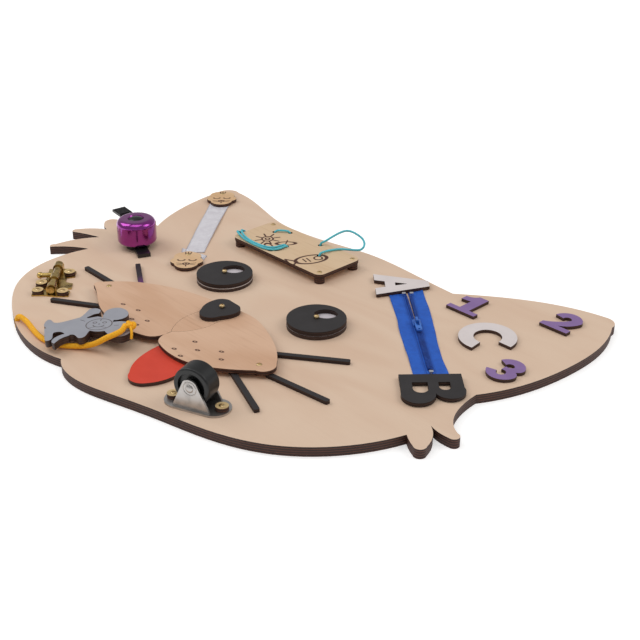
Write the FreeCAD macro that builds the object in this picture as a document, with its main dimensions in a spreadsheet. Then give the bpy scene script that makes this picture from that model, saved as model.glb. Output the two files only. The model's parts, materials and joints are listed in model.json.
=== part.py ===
import FreeCAD, Part
import math
import os
import re
import Sketcher

# Wooden busy board in the outline of a cat's head. It lies flat: the face looks up, +Z.
# The origin is under the middle of the board, on its underside. +Y points to the ears.
# Places on the face are measured from the nose screw line, in millimetres.

doc = FreeCAD.newDocument("busy_board")
sizes = doc.addObject("Spreadsheet::Sheet", "Sizes")

DIMENSIONS = [
    ("nose_drop", 46.2, "nose line below the middle of the board"),
    ("board_sheet", 4.0, "each of the two board sheets"),
    ("slip", 0.3, "gap between pieces that slide or turn on each other"),
    ("kerf", 0.2, "width of the cut between muzzle pieces"),
    ("screw_shank", 3.0, "screw shank diameter"),
    ("screw_fit", 0.1, "screw hole over the shank, on the diameter"),
    ("screw_depth", 3.4, "depth of a screw in the board"),
    ("screw_head", 4.8, "screw head diameter"),
    ("screw_dome", 1.9, "screw head height"),
    ("flat_dome", 0.8, "height of the flatter screw heads"),
    ("screw_cross", 0.7, "width of the cross in a screw head"),
    ("eye_out", 60.0, "eye centre from the middle line"),
    ("eye_rise", 49.0, "eye centre above the nose line"),
    ("eye_across", 50.0, "eye diameter"),
    ("eye_base_ply", 3.6, "lower eye disc thickness"),
    ("eye_top_ply", 3.6, "turning eye disc thickness"),
    ("window_long", 20.5, "pupil window, tip to tip"),
    ("window_wide", 16.0, "pupil window, across"),
    ("window_rise", 10.8, "pupil window centre from the screw"),
    ("window_turn", 36.0, "pupil window slant in degrees"),
    ("screw_stand", 1.4, "bare shank under the heads of the turning pieces"),
    ("nose_side", 3.0, "nose screw left of the middle line"),
    ("nose_ply", 3.6, "nose thickness"),
    ("muzzle_lift", 3.7, "muzzle plates above the board"),
    ("muzzle_ply", 3.4, "muzzle plate thickness"),
    ("muzzle_foot", 10.0, "spacer under the muzzle, diameter"),
    ("whisker_wide", 4.6, "whisker width"),
    ("whisker_ply", 3.0, "whisker thickness"),
    ("whisker_round", 1.4, "whisker corner radius"),
    ("tongue_ply", 3.0, "tongue thickness"),
    ("tongue_pin", 4.0, "tongue pivot diameter"),
    ("tongue_pin_side", 16.0, "tongue pivot right of the middle line"),
    ("tongue_pin_drop", 46.0, "tongue pivot below the nose line"),
    ("letter_ply", 3.0, "letter and number thickness"),
    ("letter_turn", -42.0, "letters lean, in degrees"),
    ("lace_plate_long", 121.0, "lacing plate length"),
    ("lace_plate_wide", 53.0, "lacing plate width"),
    ("lace_plate_ply", 3.4, "lacing plate thickness"),
    ("lace_plate_corner", 7.0, "lacing plate corner radius"),
    ("lace_plate_side", 53.5, "lacing plate centre left of the middle line"),
    ("lace_plate_rise", 128.5, "lacing plate centre above the nose line"),
    ("lace_screw_edge", 5.8, "lacing plate screws in from its edges"),
    ("lace_hole", 4.4, "lacing hole diameter"),
    ("standoff_across", 9.4, "lacing plate standoff diameter"),
    ("standoff_tall", 6.4, "lacing plate standoff height"),
    ("lace_thick", 2.0, "lacing cord diameter"),
    ("badge_ply", 3.0, "small animal head thickness"),
    ("ribbon_wide", 18.0, "ribbon width"),
    ("ribbon_thick", 0.8, "ribbon thickness"),
    ("ribbon_bow", 1.2, "height of the ribbon's bow"),
    ("zip_long", 156.0, "zip tape length"),
    ("zip_tape_wide", 13.0, "width of each zip tape"),
    ("zip_tape_thick", 0.8, "zip tape thickness"),
    ("zip_gap", 0.8, "gap between the closed tapes"),
    ("coil_wide", 4.2, "closed zip coil width"),
    ("coil_tall", 1.8, "zip coil height"),
    ("coil_pitch", 2.0, "spacing of the zip teeth"),
    ("tooth_long", 1.3, "zip tooth length"),
    ("zip_first", 18.0, "first zip tooth from the open end of the tape"),
    ("slider_long", 9.5, "zip slider length"),
    ("slider_wall", 1.0, "zip slider wall"),
    ("slider_at", 69.0, "slider centre from the open end of the tape"),
    ("pull_long", 14.2, "zip pull length"),
    ("pull_wide", 4.8, "zip pull width"),
    ("pull_thick", 1.2, "zip pull thickness"),
    ("zip_opening", 0.9, "how far each tape stands back at the open end"),
    ("pull_hole", 2.0, "hole at the end of the zip pull"),
    ("letter_b_cover", 3.64, "how far the letter B covers the end of the zip"),
    ("letter_b_side", 26.03, "letter B corner beside the zip's middle line"),
    ("bridge_tall", 3.4, "height of the bridge that holds the zip pull"),
    ("bridge_wide", 2.0, "width of that bridge"),
    ("bell_side", 175.0, "bell centre left of the middle line"),
    ("bell_rise", 36.0, "bell centre above the nose line"),
    ("bell_across", 37.0, "bell dome diameter"),
    ("bell_wall", 1.5, "bell dome wall"),
    ("bell_rim_lift", 5.6, "bell dome rim above the board"),
    ("bell_tall", 23.4, "bell dome height"),
    ("bell_foot_long", 28.0, "bell foot length"),
    ("bell_foot_wide", 12.0, "bell foot width"),
    ("bell_shoulder", 5.8, "bell dome shoulder radius"),
    ("bell_dish", 15.5, "dished top of the bell, diameter"),
    ("bell_dish_deep", 2.2, "depth of the dished top"),
    ("bell_base_tall", 2.6, "bell base height"),
    ("bell_base_across", 22.0, "bell base diameter"),
    ("bell_post", 6.0, "bell post diameter"),
    ("bell_cap_across", 12.5, "bell cap diameter"),
    ("lever_thick", 2.3, "bell lever thickness"),
    ("lever_pin_out", 8.0, "lever pin from the bell centre"),
    ("lever_pin", 3.0, "lever pin diameter"),
    ("lever_turn", -8.0, "bell lever direction, in degrees"),
    ("lever_fit", 0.08, "running gap round the lever pin, on the radius"),
    ("lever_reach", 25.0, "thumb pad centre from the lever pin"),
    ("thumb_long", 17.0, "thumb pad length"),
    ("thumb_wide", 13.0, "thumb pad width"),
    ("thumb_lift", 19.4, "thumb pad above the lever"),
    ("striker_reach", 13.0, "striker from the lever pin"),
    ("striker_across", 5.0, "striker diameter"),
    ("striker_stem", 2.4, "striker stem diameter"),
    ("bolt_side", 153.8, "bolt centre left of the middle line"),
    ("bolt_drop", 69.2, "bolt centre below the nose line"),
    ("bolt_turn", -40.0, "bolt axis, in degrees"),
    ("bolt_plate_thick", 1.2, "brass plate thickness"),
    ("rod_across", 6.4, "bolt rod diameter"),
    ("guide_wall", 1.2, "wall of the bolt guides"),
    ("rod_slip", 0.08, "running gap round the bolt rod, on the radius"),
    ("rod_long", 52.0, "bolt rod length"),
    ("knob_long", 14.0, "bolt knob length"),
    ("knob_across", 6.0, "bolt knob diameter"),
    ("washer_across", 10.0, "plywood washer diameter"),
    ("washer_tall", 3.2, "plywood washer height"),
    ("caster_side", 89.3, "caster centre right of the middle line"),
    ("caster_drop", 98.2, "caster centre below the nose line"),
    ("caster_turn", 21.0, "caster turn, in degrees"),
    ("caster_plate_long", 54.0, "caster base plate length"),
    ("caster_plate_wide", 25.0, "caster base plate width"),
    ("caster_gauge", 1.6, "caster sheet metal thickness"),
    ("caster_screw_gap", 41.4, "distance between the caster screws"),
    ("ear_foot", 32.6, "caster ear width at the base"),
    ("ear_round", 7.2, "caster ear radius round the axle"),
    ("axle_lift", 18.8, "caster axle above the board"),
    ("axle_across", 4.0, "caster axle diameter"),
    ("axle_fit", 0.06, "running gap round the axle, on the radius"),
    ("ear_ring", 5.4, "radius of the ring pressed round the axle rivet"),
    ("wheel_across", 30.4, "caster wheel diameter"),
    ("wheel_wide", 16.0, "caster wheel width"),
    ("wheel_recess", 2.4, "depth of the wheel's hollow face"),
    ("wheel_rim", 4.0, "rim round the hollow face"),
    ("mouse_ply", 3.0, "each of the two mouse layers"),
    ("mouse_side", 69.0, "mouse feet left of the middle line"),
    ("mouse_drop", 128.0, "mouse feet below the nose line"),
    ("mouse_turn", 44.0, "mouse lies turned, in degrees"),
    ("mouse_tilt", 3.2, "mouse head end raised, in degrees"),
    ("mouse_lift", 4.8, "mouse feet above the board"),
    ("tether_thick", 4.6, "yellow cord diameter"),
    ("tail_thick", 2.2, "end of the yellow cord past its knot"),
]
for row, (alias, value, meaning) in enumerate(DIMENSIONS, start=1):
    sizes.set("A%d" % row, meaning)
    sizes.set("B%d" % row, str(value))
    sizes.setAlias("B%d" % row, alias)
doc.recompute()

ALIASES = [entry[0] for entry in DIMENSIONS]
UP = FreeCAD.Vector(0, 0, 1)
BOARD = "2 * board_sheet"


def size(alias):
    """A driving dimension as a number."""
    return float(sizes.get(alias))


def swap_names(text, change):
    """A formula with each alias in it changed."""
    return re.sub(r"[a-z][a-z_]+", lambda m: change(m.group(0)) if m.group(0) in ALIASES else m.group(0), str(text))


def linked(text):
    """A formula in plain aliases, written as the sheet's expression."""
    return swap_names(text, lambda alias: "Sizes." + alias)


def worth(text):
    """The number that a formula in plain aliases gives."""
    return FreeCAD.Units.Quantity(swap_names(text, lambda alias: repr(size(alias)))).Value


def bind(thing, **formulas):
    """Ties properties of an object to the sheet."""
    for name, text in formulas.items():
        thing.setExpression(name, linked(text))
    return thing


def place(thing, x=0, y=0, z=0, turn=0, on_face=True):
    """Puts a piece at a place on the face, z above the board's underside."""
    thing.Placement = FreeCAD.Placement(FreeCAD.Vector(), FreeCAD.Rotation(UP, worth(turn)))
    drop = " - nose_drop" if on_face else ""
    thing.setExpression("Placement.Base.x", linked(x))
    thing.setExpression("Placement.Base.y", linked("%s%s" % (y, drop)))
    thing.setExpression("Placement.Base.z", linked(z))
    return thing


def point(x, y, z=0):
    return FreeCAD.Vector(x, y, z)


def spot(x, y, centre_x, centre_y, turn):
    """A place given in a turned frame, as a place on the face."""
    angle = math.radians(turn)
    return (centre_x + x * math.cos(angle) - y * math.sin(angle),
            centre_y + x * math.sin(angle) + y * math.cos(angle))


# Outlines and plates

def draw(sketch, start, *moves):
    """Draws a closed outline of lines, three-point arcs and smooth curves."""
    here = point(*start)
    for kind, *stops in moves:
        stops = [point(*stop) for stop in stops]
        if kind == "line":
            for stop in stops:
                sketch.addGeometry(Part.LineSegment(here, stop))
                here = stop
        elif kind == "arc":
            sketch.addGeometry(Part.Arc(here, stops[0], stops[1]))
            here = stops[1]
        else:
            curve = Part.BSplineCurve()
            curve.interpolate([here] + stops)
            sketch.addGeometry(curve)
            here = stops[-1]


def drill(sketch, x, y, diameter):
    """Draws a round hole whose diameter follows the sheet."""
    hole = sketch.addGeometry(Part.Circle(point(x, y), UP, worth(diameter) / 2))
    index = sketch.addConstraint(Sketcher.Constraint("Diameter", hole, worth(diameter)))
    sketch.setExpression("Constraints[%d]" % index, linked(diameter))


def notch(body, x, y, diameter):
    """A round notch cut through a plate where its edge passes the circle."""
    sketch = new_sketch(body, body.Name + "_notch_line")
    drill(sketch, x, y, diameter)
    pocket = body.newObject("PartDesign::Pocket", body.Name + "_notch")
    pocket.Profile = sketch
    pocket.Type = "ThroughAll"
    pocket.Reversed = True
    return body


def new_sketch(body, name, role="XY_Plane"):
    sketch = body.newObject("Sketcher::SketchObject", name)
    plane = [part for part in body.Origin.OriginFeatures if part.Role == role][0]
    sketch.AttachmentSupport = (plane, [""])
    sketch.MapMode = "FlatFace"
    return sketch


def plate(name, thickness, outline, holes=(), windows=()):
    """A flat piece: one outline padded to its thickness, with round holes and cut-outs."""
    body = doc.addObject("PartDesign::Body", name)
    sketch = new_sketch(body, name + "_outline")
    if outline:
        draw(sketch, *outline)
    for x, y, diameter in holes:
        drill(sketch, x, y, diameter)
    for window in windows:
        draw(sketch, *window)
    pad = body.newObject("PartDesign::Pad", name + "_pad")
    pad.Profile = sketch
    bind(pad, Length=thickness)
    return body


def disc(name, diameter, thickness, holes=(), windows=()):
    return plate(name, thickness, None, [(0, 0, diameter)] + list(holes), windows)


def rounded_box(long, wide, corner):
    """Outline of a rectangle with round corners, centred."""
    a, b, bend = long / 2, wide / 2, corner * (1 - math.sqrt(0.5))
    return [(a - corner, -b), ("arc", (a - bend, bend - b), (a, corner - b)), ("line", (a, b - corner)),
            ("arc", (a - bend, b - bend), (a - corner, b)), ("line", (corner - a, b)),
            ("arc", (bend - a, b - bend), (-a, b - corner)), ("line", (-a, corner - b)),
            ("arc", (bend - a, bend - b), (corner - a, -b)), ("line", (a - corner, -b))]


def cylinder(name, diameter, height, x=0, y=0, z=0, on_face=False):
    rod = doc.addObject("Part::Cylinder", name)
    bind(rod, Radius="(%s) / 2" % diameter, Height=height)
    return place(rod, x, y, z, on_face=on_face)


def block(name, long, wide, tall, x=0, y=0, z=0):
    """A box centred in x and y, standing on z."""
    box = doc.addObject("Part::Box", name)
    bind(box, Length=long, Width=wide, Height=tall)
    return place(box, "%s - (%s) / 2" % (x, long), "%s - (%s) / 2" % (y, wide), z, on_face=False)


def fuse(name, pieces):
    whole = doc.addObject("Part::MultiFuse", name)
    whole.Shapes = pieces
    return whole


def cut(name, base, tool):
    rest = doc.addObject("Part::Cut", name)
    rest.Base = base
    rest.Tool = tool
    return rest


def group(name, pieces):
    together = doc.addObject("Part::Compound", name)
    together.Links = pieces
    return together


SHANK_HOLE = "screw_shank + screw_fit"
LOOSE_HOLE = "screw_shank + 2 * slip"

# Where the screws stand: x, y on the face, and the height of the surface under each head

plate_x = size("lace_plate_long") / 2 - size("lace_screw_edge")
plate_y = size("lace_plate_wide") / 2 - size("lace_screw_edge")
LACE_SCREWS = [(sx * plate_x - size("lace_plate_side"), sy * plate_y + size("lace_plate_rise"))
               for sx in (-1, 1) for sy in (-1, 1)]
MUZZLE_SCREWS = [(-109, -41), (85, -35)]
BADGES = [("badge_upper", -217, 174), ("badge_lower", -120, 54)]
BOLT_CENTRE = (-size("bolt_side"), -size("bolt_drop"), size("bolt_turn"))
BOLT_HOLES = [(-22, 11), (-1, -11), (14, -12), (17, 10)]
BOLT_SCREWS = [spot(x, y, *BOLT_CENTRE) for x, y in BOLT_HOLES]
CASTER_CENTRE = (size("caster_side"), -size("caster_drop"), size("caster_turn"))
CASTER_SCREWS = [spot(side * size("caster_screw_gap") / 2, 0, *CASTER_CENTRE) for side in (-1, 1)]
eye_seat = BOARD + " + eye_base_ply + eye_top_ply + slip + screw_stand"
nose_seat = BOARD + " + muzzle_lift + muzzle_ply + slip + nose_ply + screw_stand"
muzzle_seat = BOARD + " + muzzle_lift + muzzle_ply"
lace_seat = BOARD + " + standoff_tall + lace_plate_ply"
badge_seat = BOARD + " + ribbon_thick + badge_ply"
bolt_seat = BOARD + " + bolt_plate_thick + washer_tall"
caster_seat = BOARD + " + caster_gauge + washer_tall"
SCREWS = [(-size("eye_out"), size("eye_rise"), eye_seat), (size("eye_out"), size("eye_rise"), eye_seat),
          (-size("nose_side"), 0, nose_seat)]
SCREWS += [(x, y, muzzle_seat) for x, y in MUZZLE_SCREWS]
SCREWS += [(x, y, lace_seat) for x, y in LACE_SCREWS]
SCREWS += [(x, y, badge_seat) for _, x, y in BADGES]
SCREWS += [(x, y, bolt_seat) for x, y in BOLT_SCREWS]
SCREWS += [(x, y, caster_seat) for x, y in CASTER_SCREWS]


PROUD_SCREWS = 3


def make_screws():
    """Shank, head and the cross cut into the head; the eyes and the nose have the proud heads."""
    done = []
    for number, (x, y, seat) in enumerate(SCREWS, start=1):
        tip = BOARD + " - screw_depth"
        dome = "screw_dome" if number <= PROUD_SCREWS else "flat_dome"
        shank = cylinder("shank_%d" % number, "screw_shank", "%s - (%s)" % (seat, tip), z=tip)
        head = doc.addObject("Part::Ellipsoid", "head_%d" % number)
        bind(head, Radius1=dome, Radius2="screw_head / 2", Radius3="screw_head / 2")
        head.Angle1 = 0
        place(head, 0, 0, seat, on_face=False)
        cross = fuse("cross_%d" % number,
                     [block("slot_%d_%d" % (number, arm), *spans, dome, z="%s + %s / 2" % (seat, dome))
                      for arm, spans in enumerate([("screw_head * 0.6", "screw_cross"),
                                                   ("screw_cross", "screw_head * 0.6")])])
        whole = fuse("screw_body_%d" % number, [shank, head])
        done.append(place(cut("screw_%d" % number, whole, cross), x, y))
    return group("screws", done)


# The board: two sheets of plywood glued together, cut to one outline

BOARD_OUTLINE = [
    (-38, -135),
    ("curve", (-68, -139.5), (-110, -132), (-153, -112), (-180, -92), (-198, -67), (-206, -32), (-202, -2)),
    ("arc", (-217, -11), (-231, -26)), ("arc", (-234, -24), (-233, -19)), ("arc", (-229, 1), (-218, 21)),
    ("arc", (-233, 16), (-247, 9.5)), ("arc", (-250.2, 11.7), (-249.5, 16)), ("arc", (-241, 28), (-229, 37)),
    ("arc", (-238, 40), (-246, 46)), ("arc", (-248, 50), (-244, 58)), ("arc", (-224, 72), (-202, 79)),
    ("curve", (-217, 109), (-228, 150), (-231.5, 184)), ("arc", (-227, 192.5), (-215, 194)),
    ("curve", (-166, 184), (-118, 171.5), (-99, 171)),
    ("curve", (-57, 175), (-10, 183), (49, 181), (98, 177)),
    ("curve", (120, 194), (164, 221), (216, 236.5)), ("arc", (225.5, 234.5), (230, 225)),
    ("curve", (243, 187), (244.5, 147), (236, 95), (221, 61)),
    ("curve", (226, 34), (234, 20), (246, 11.5)), ("arc", (250.5, 6.5), (246, 2.5)), ("arc", (233, 3), (220, 8)),
    ("curve", (234, -1.5), (242, -17)), ("arc", (240.5, -23.5), (235, -23.5)), ("arc", (228, -20), (222, -16)),
    ("curve", (201, -59), (163, -96), (126, -113), (68, -127), (31, -137), (-7, -144), (-28, -140.5), (-38, -135)),
]
TETHER_NOTCH = (-120.5, -126)


def make_board():
    back = plate("board_back", "board_sheet", BOARD_OUTLINE)
    screw_holes = [(x, y, SHANK_HOLE) for x, y, _ in SCREWS]
    front = plate("board_front", "board_sheet", BOARD_OUTLINE, screw_holes)
    for sheet in (back, front):
        notch(sheet, *TETHER_NOTCH, "tether_thick + 4 * slip")
    return [place(back), place(front, z="board_sheet")]


# Eyes: a fixed disc, and a turning disc with a pupil window

def eye_window():
    """A lens of two arcs, slanting, above the screw."""
    turn = math.radians(size("window_turn"))
    long, wide, rise = size("window_long") / 2, size("window_wide") / 2, size("window_rise")

    def at(x, y):
        return (x * math.cos(turn) - y * math.sin(turn), rise + x * math.sin(turn) + y * math.cos(turn))
    return [at(-long, 0), ("arc", at(0, wide), at(long, 0)), ("arc", at(0, -wide), at(-long, 0))]


def make_eyes():
    pieces = []
    for side, sign in (("left", "-"), ("right", "")):
        x = sign + "eye_out"
        base = disc("eye_%s_base" % side, "eye_across", "eye_base_ply", [(0, 0, SHANK_HOLE)])
        top = disc("eye_%s_top" % side, "eye_across", "eye_top_ply", [(0, 0, LOOSE_HOLE)], [eye_window()])
        pieces += [place(base, x, "eye_rise", BOARD),
                   place(top, x, "eye_rise", BOARD + " + eye_base_ply + slip")]
    return pieces


# Muzzle: two cheek plates and a middle piece cut from one sheet, on spacers, with the nose on top

MIDDLE_OUTLINE = [(-4, -52), ("arc", (-14.5, -36), (-17, -17)), ("line", (-13, 2), (-4, 8), (7, 2), (9, -16)),
                  ("arc", (6.5, -37), (-4, -52))]
LEFT_CHEEK = [(-4.2, 10), ("curve", (-22, 8), (-63, -1), (-96, -17), (-120, -41)),
              ("arc", (-122.5, -46), (-118, -50)),
              ("curve", (-102, -58), (-84, -68), (-62, -74.5), (-26, -75), (-12, -71)),
              ("arc", (-5.5, -64.5), (-4.2, -56)), ("line", (-4.2, 10))]
RIGHT_CHEEK = [(-3.8, 10), ("line", (-3.8, -56)), ("arc", (-1.5, -66), (7, -71.5)),
               ("curve", (22, -74.5), (45, -72.5), (70, -60), (90, -43)),
               ("arc", (98, -35), (94, -25)),
               ("curve", (76, -9.5), (48, 5), (25, 12), (8, 12), (-3.8, 10))]
NOSE_OUTLINE = [(-10, -14), ("arc", (-15, -4), (-15, 5)), ("arc", (-11, 11.5), (-3, 13)),
                ("line", (5, 12.5)), ("arc", (13, 9), (15.5, 1)), ("arc", (14.5, -4), (11, -11)),
                ("arc", (8, -18), (2, -21.5)), ("arc", (-5, -20), (-10, -14))]


def sheet_piece(name, outline, thickness):
    """A loose sketch extruded to a plate."""
    sketch = doc.addObject("Sketcher::SketchObject", name + "_outline")
    draw(sketch, *outline)
    return extrude(name, sketch, thickness)


def extrude(name, source, thickness):
    solid = doc.addObject("Part::Extrusion", name)
    solid.Base = source
    solid.DirMode = "Custom"
    solid.Dir = UP
    solid.Solid = True
    bind(solid, LengthFwd=thickness)
    return solid


def make_muzzle():
    level = BOARD + " + muzzle_lift"
    nose_x = -size("nose_side")
    middle = plate("muzzle_middle", "muzzle_ply", MIDDLE_OUTLINE, [(nose_x, 0, SHANK_HOLE)])
    middle_line = doc.addObject("Sketcher::SketchObject", "middle_line")
    draw(middle_line, *MIDDLE_OUTLINE)
    grown = doc.addObject("Part::Offset2D", "middle_grown")
    grown.Source = middle_line
    bind(grown, Value="kerf")
    pieces = [place(middle, z=level)]
    for side, outline, (x, y) in (("left", LEFT_CHEEK, MUZZLE_SCREWS[0]), ("right", RIGHT_CHEEK, MUZZLE_SCREWS[1])):
        blank = sheet_piece("%s_blank" % side, outline, "muzzle_ply")
        gap = extrude("%s_gap" % side, grown, "muzzle_ply")
        hole = cylinder("%s_hole" % side, SHANK_HOLE, "muzzle_ply", x, y)
        cheek = cut("muzzle_" + side, blank, fuse("%s_waste" % side, [gap, hole]))
        pieces.append(place(cheek, z=level))
    feet = []
    for number, (x, y) in enumerate([(nose_x, 0)] + MUZZLE_SCREWS, start=1):
        foot = disc("muzzle_foot_%d" % number, "muzzle_foot", "muzzle_lift", [(0, 0, SHANK_HOLE)])
        feet.append(place(foot, x, y, BOARD))
    pieces.append(group("muzzle_spacers", feet))
    nose = plate("nose", "nose_ply", NOSE_OUTLINE, [(0, 0, LOOSE_HOLE)])
    pieces.append(place(nose, "-nose_side", 0, level + " + muzzle_ply + slip"))
    return pieces


# Whiskers: outer end x, y, then the angle towards the root and the length

WHISKERS = [("whisker_left_upper", -137, 9, -31.5, 60), ("whisker_left_middle", -164, -29, -1.5, 62),
            ("whisker_left_lower", -130, -87, 31, 63), ("whisker_right_upper", 124, 25, 215, 70),
            ("whisker_right_middle", 155, -28, 186, 62), ("whisker_right_lower", 128, -74, 158, 66)]


def make_whiskers():
    pieces = []
    for name, x, y, angle, length in WHISKERS:
        shape = rounded_box(length, size("whisker_wide"), size("whisker_round"))
        stick = plate(name, "whisker_ply", shape)
        middle = spot(length / 2, 0, x, y, angle)
        pieces.append(place(stick, middle[0], middle[1], BOARD, turn=angle))
    return pieces


# Tongue: swings on a pin under the muzzle

TONGUE_OUTLINE = [(-13, -2), ("curve", (-13.5, -26), (-7, -50), (5, -65)), ("arc", (16, -71.5), (27, -65)),
                  ("curve", (33, -48), (29, -27), (12, 1)), ("arc", (-2, 10), (-13, -2))]


def make_tongue():
    pin = cylinder("tongue_pin", "tongue_pin", "tongue_ply + slip", "tongue_pin_side", "-tongue_pin_drop", BOARD,
                   on_face=True)
    tongue = plate("tongue", "tongue_ply", TONGUE_OUTLINE, [(0, 0, "tongue_pin + 0.2")])
    return [pin, place(tongue, "tongue_pin_side", "-tongue_pin_drop", BOARD + " + slip")]


# Letters and numbers, each drawn from its lower left corner

GLYPHS = {
    "letter_a": ([(0, 0), ("line", (15, 48), (26, 48), (41, 0), (28.5, 0), (26, 9), (15, 9), (12.5, 0), (0, 0))],
                 [[(17.5, 18), ("line", (23.5, 18), (20.5, 29), (17.5, 18))]]),
    "letter_b": ([(0, 0), ("line", (0, 48), (20, 48)), ("arc", (36, 37), (28, 25.5)), ("arc", (42, 13), (25, 0)),
                  ("line", (0, 0))],
                 [[(12, 29), ("line", (19, 29)), ("arc", (23.5, 33.5), (19, 38)), ("line", (12, 38), (12, 29))],
                  [(12, 9), ("line", (21, 9)), ("arc", (27, 15), (21, 21)), ("line", (12, 21), (12, 9))]]),
    "letter_c": ([(40, 39.5), ("arc", (-2, 24), (40, 8.5)), ("line", (31, 16.5)), ("arc", (10.5, 24), (31, 31.5)),
                  ("line", (40, 39.5))], []),
    "number_1": ([(0, 0), ("line", (30, 0), (30, 5.5), (20.5, 5.5), (20.5, 32), (11, 32)), ("arc", (7, 27.5), (1, 26)),
                  ("line", (1, 19), (10.5, 20), (10.5, 5.5), (0, 5.5), (0, 0))], []),
    "number_2": ([(0, 0), ("line", (27, 0), (27, 6), (14, 6)), ("curve", (22.5, 13), (26.5, 22)),
                  ("arc", (13.5, 32.5), (1, 22)), ("line", (9.5, 20.5)), ("arc", (13.5, 24.5), (17, 21)),
                  ("curve", (11.5, 13.5), (0, 5)), ("line", (0, 0))], []),
    "number_3": ([(1, 8), ("arc", (14, -1), (26.5, 9.5)), ("arc", (25.5, 14), (22, 17)), ("arc", (25, 20), (25.5, 24)),
                  ("arc", (13.5, 33), (2, 25)), ("line", (9.5, 21.5)), ("arc", (13.5, 25), (17, 22)),
                  ("arc", (15.5, 19.8), (11, 19.5)), ("line", (11, 13.5)), ("arc", (16.5, 12.5), (17.5, 9.5)),
                  ("arc", (13, 6), (9.5, 10)), ("line", (1, 8))], []),
}
ZIP_START = (64, 153)
ZIP_TURN = -39.5
LETTER_B_SPOT = spot(size("zip_long") - size("letter_b_cover"), -size("letter_b_side"),
                     *ZIP_START, ZIP_TURN)
GLYPH_SPOTS = [("letter_a", 28, 149, "letter_turn", BOARD + " + zip_tape_thick"),
               ("letter_b", *LETTER_B_SPOT, "letter_turn", BOARD + " + zip_tape_thick"),
               ("letter_c", 140, 130.6, "letter_turn", BOARD),
               ("number_1", 112, 152, 0, BOARD), ("number_2", 186, 184, 0, BOARD), ("number_3", 202, 87, 0, BOARD)]


def make_glyphs():
    pieces = []
    for name, x, y, turn, level in GLYPH_SPOTS:
        outline, windows = GLYPHS[name]
        pieces.append(place(plate(name, "letter_ply", outline, windows=windows), x, y, level, turn=turn))
    return pieces


# Lacing plate on four standoffs

LACE_HOLES = [(-40, 9.5), (-28, 19), (-7, -4.5), (12.5, 20), (28.5, 3.5)]


def make_lacing_plate():
    corners = [(sx * plate_x, sy * plate_y, SHANK_HOLE) for sx in (-1, 1) for sy in (-1, 1)]
    outline = rounded_box(size("lace_plate_long"), size("lace_plate_wide"), size("lace_plate_corner"))
    board = plate("lacing_plate", "lace_plate_ply", outline,
                  corners + [(x, y, "lace_hole") for x, y in LACE_HOLES])
    posts = [place(disc("standoff_%d" % number, "standoff_across", "standoff_tall", [(0, 0, SHANK_HOLE)]),
                   x, y, BOARD) for number, (x, y) in enumerate(LACE_SCREWS, start=1)]
    return [place(board, "-lace_plate_side", "lace_plate_rise", BOARD + " + standoff_tall"),
            group("lacing_standoffs", posts)]


# Two small animal heads over the ends of a ribbon

BADGE_OUTLINE = [(-5, 5), ("arc", (0, 7), (5, 5)), ("curve", (11, 1), (12.2, -8)), ("curve", (15.1, -14), (11, -20)),
                 ("arc", (0, -30), (-11, -20)), ("curve", (-15.1, -14), (-12.2, -8)), ("curve", (-11, 1), (-5, 5))]
BADGE_TURN = 47


def make_badges():
    pieces = []
    for name, x, y in BADGES:
        badge = plate(name, "badge_ply", BADGE_OUTLINE, [(0, 0, SHANK_HOLE)])
        pieces.append(place(badge, x, y, BOARD + " + ribbon_thick", turn=BADGE_TURN))
    return pieces


RIBBON_ENDS = ((-202, 157), (-118.5, 59.5))


def make_ribbon():
    """A bowed strip: a flat end, an arch and a flat end, extruded across its width."""
    (x1, y1), (x2, y2) = RIBBON_ENDS
    span = math.hypot(x2 - x1, y2 - y1)
    angle = math.degrees(math.atan2(y2 - y1, x2 - x1))
    thick, bow, flat = size("ribbon_thick"), size("ribbon_bow"), 16
    body = doc.addObject("PartDesign::Body", "ribbon")
    sketch = new_sketch(body, "ribbon_side", "XZ_Plane")
    draw(sketch, (0, 0), ("line", (flat, 0)), ("arc", (span / 2, bow), (span - flat, 0)), ("line", (span, 0)),
         ("line", (span, thick), (span - flat, thick)), ("arc", (span / 2, bow + thick), (flat, thick)),
         ("line", (0, thick), (0, 0)))
    pad = body.newObject("PartDesign::Pad", "ribbon_pad")
    pad.Profile = sketch
    pad.Midplane = True
    bind(pad, Length="ribbon_wide")
    return [place(body, x1, y1, BOARD, turn=angle)]


# Zip: two tapes, a coil, a slider with its pull, and end stops

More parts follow.
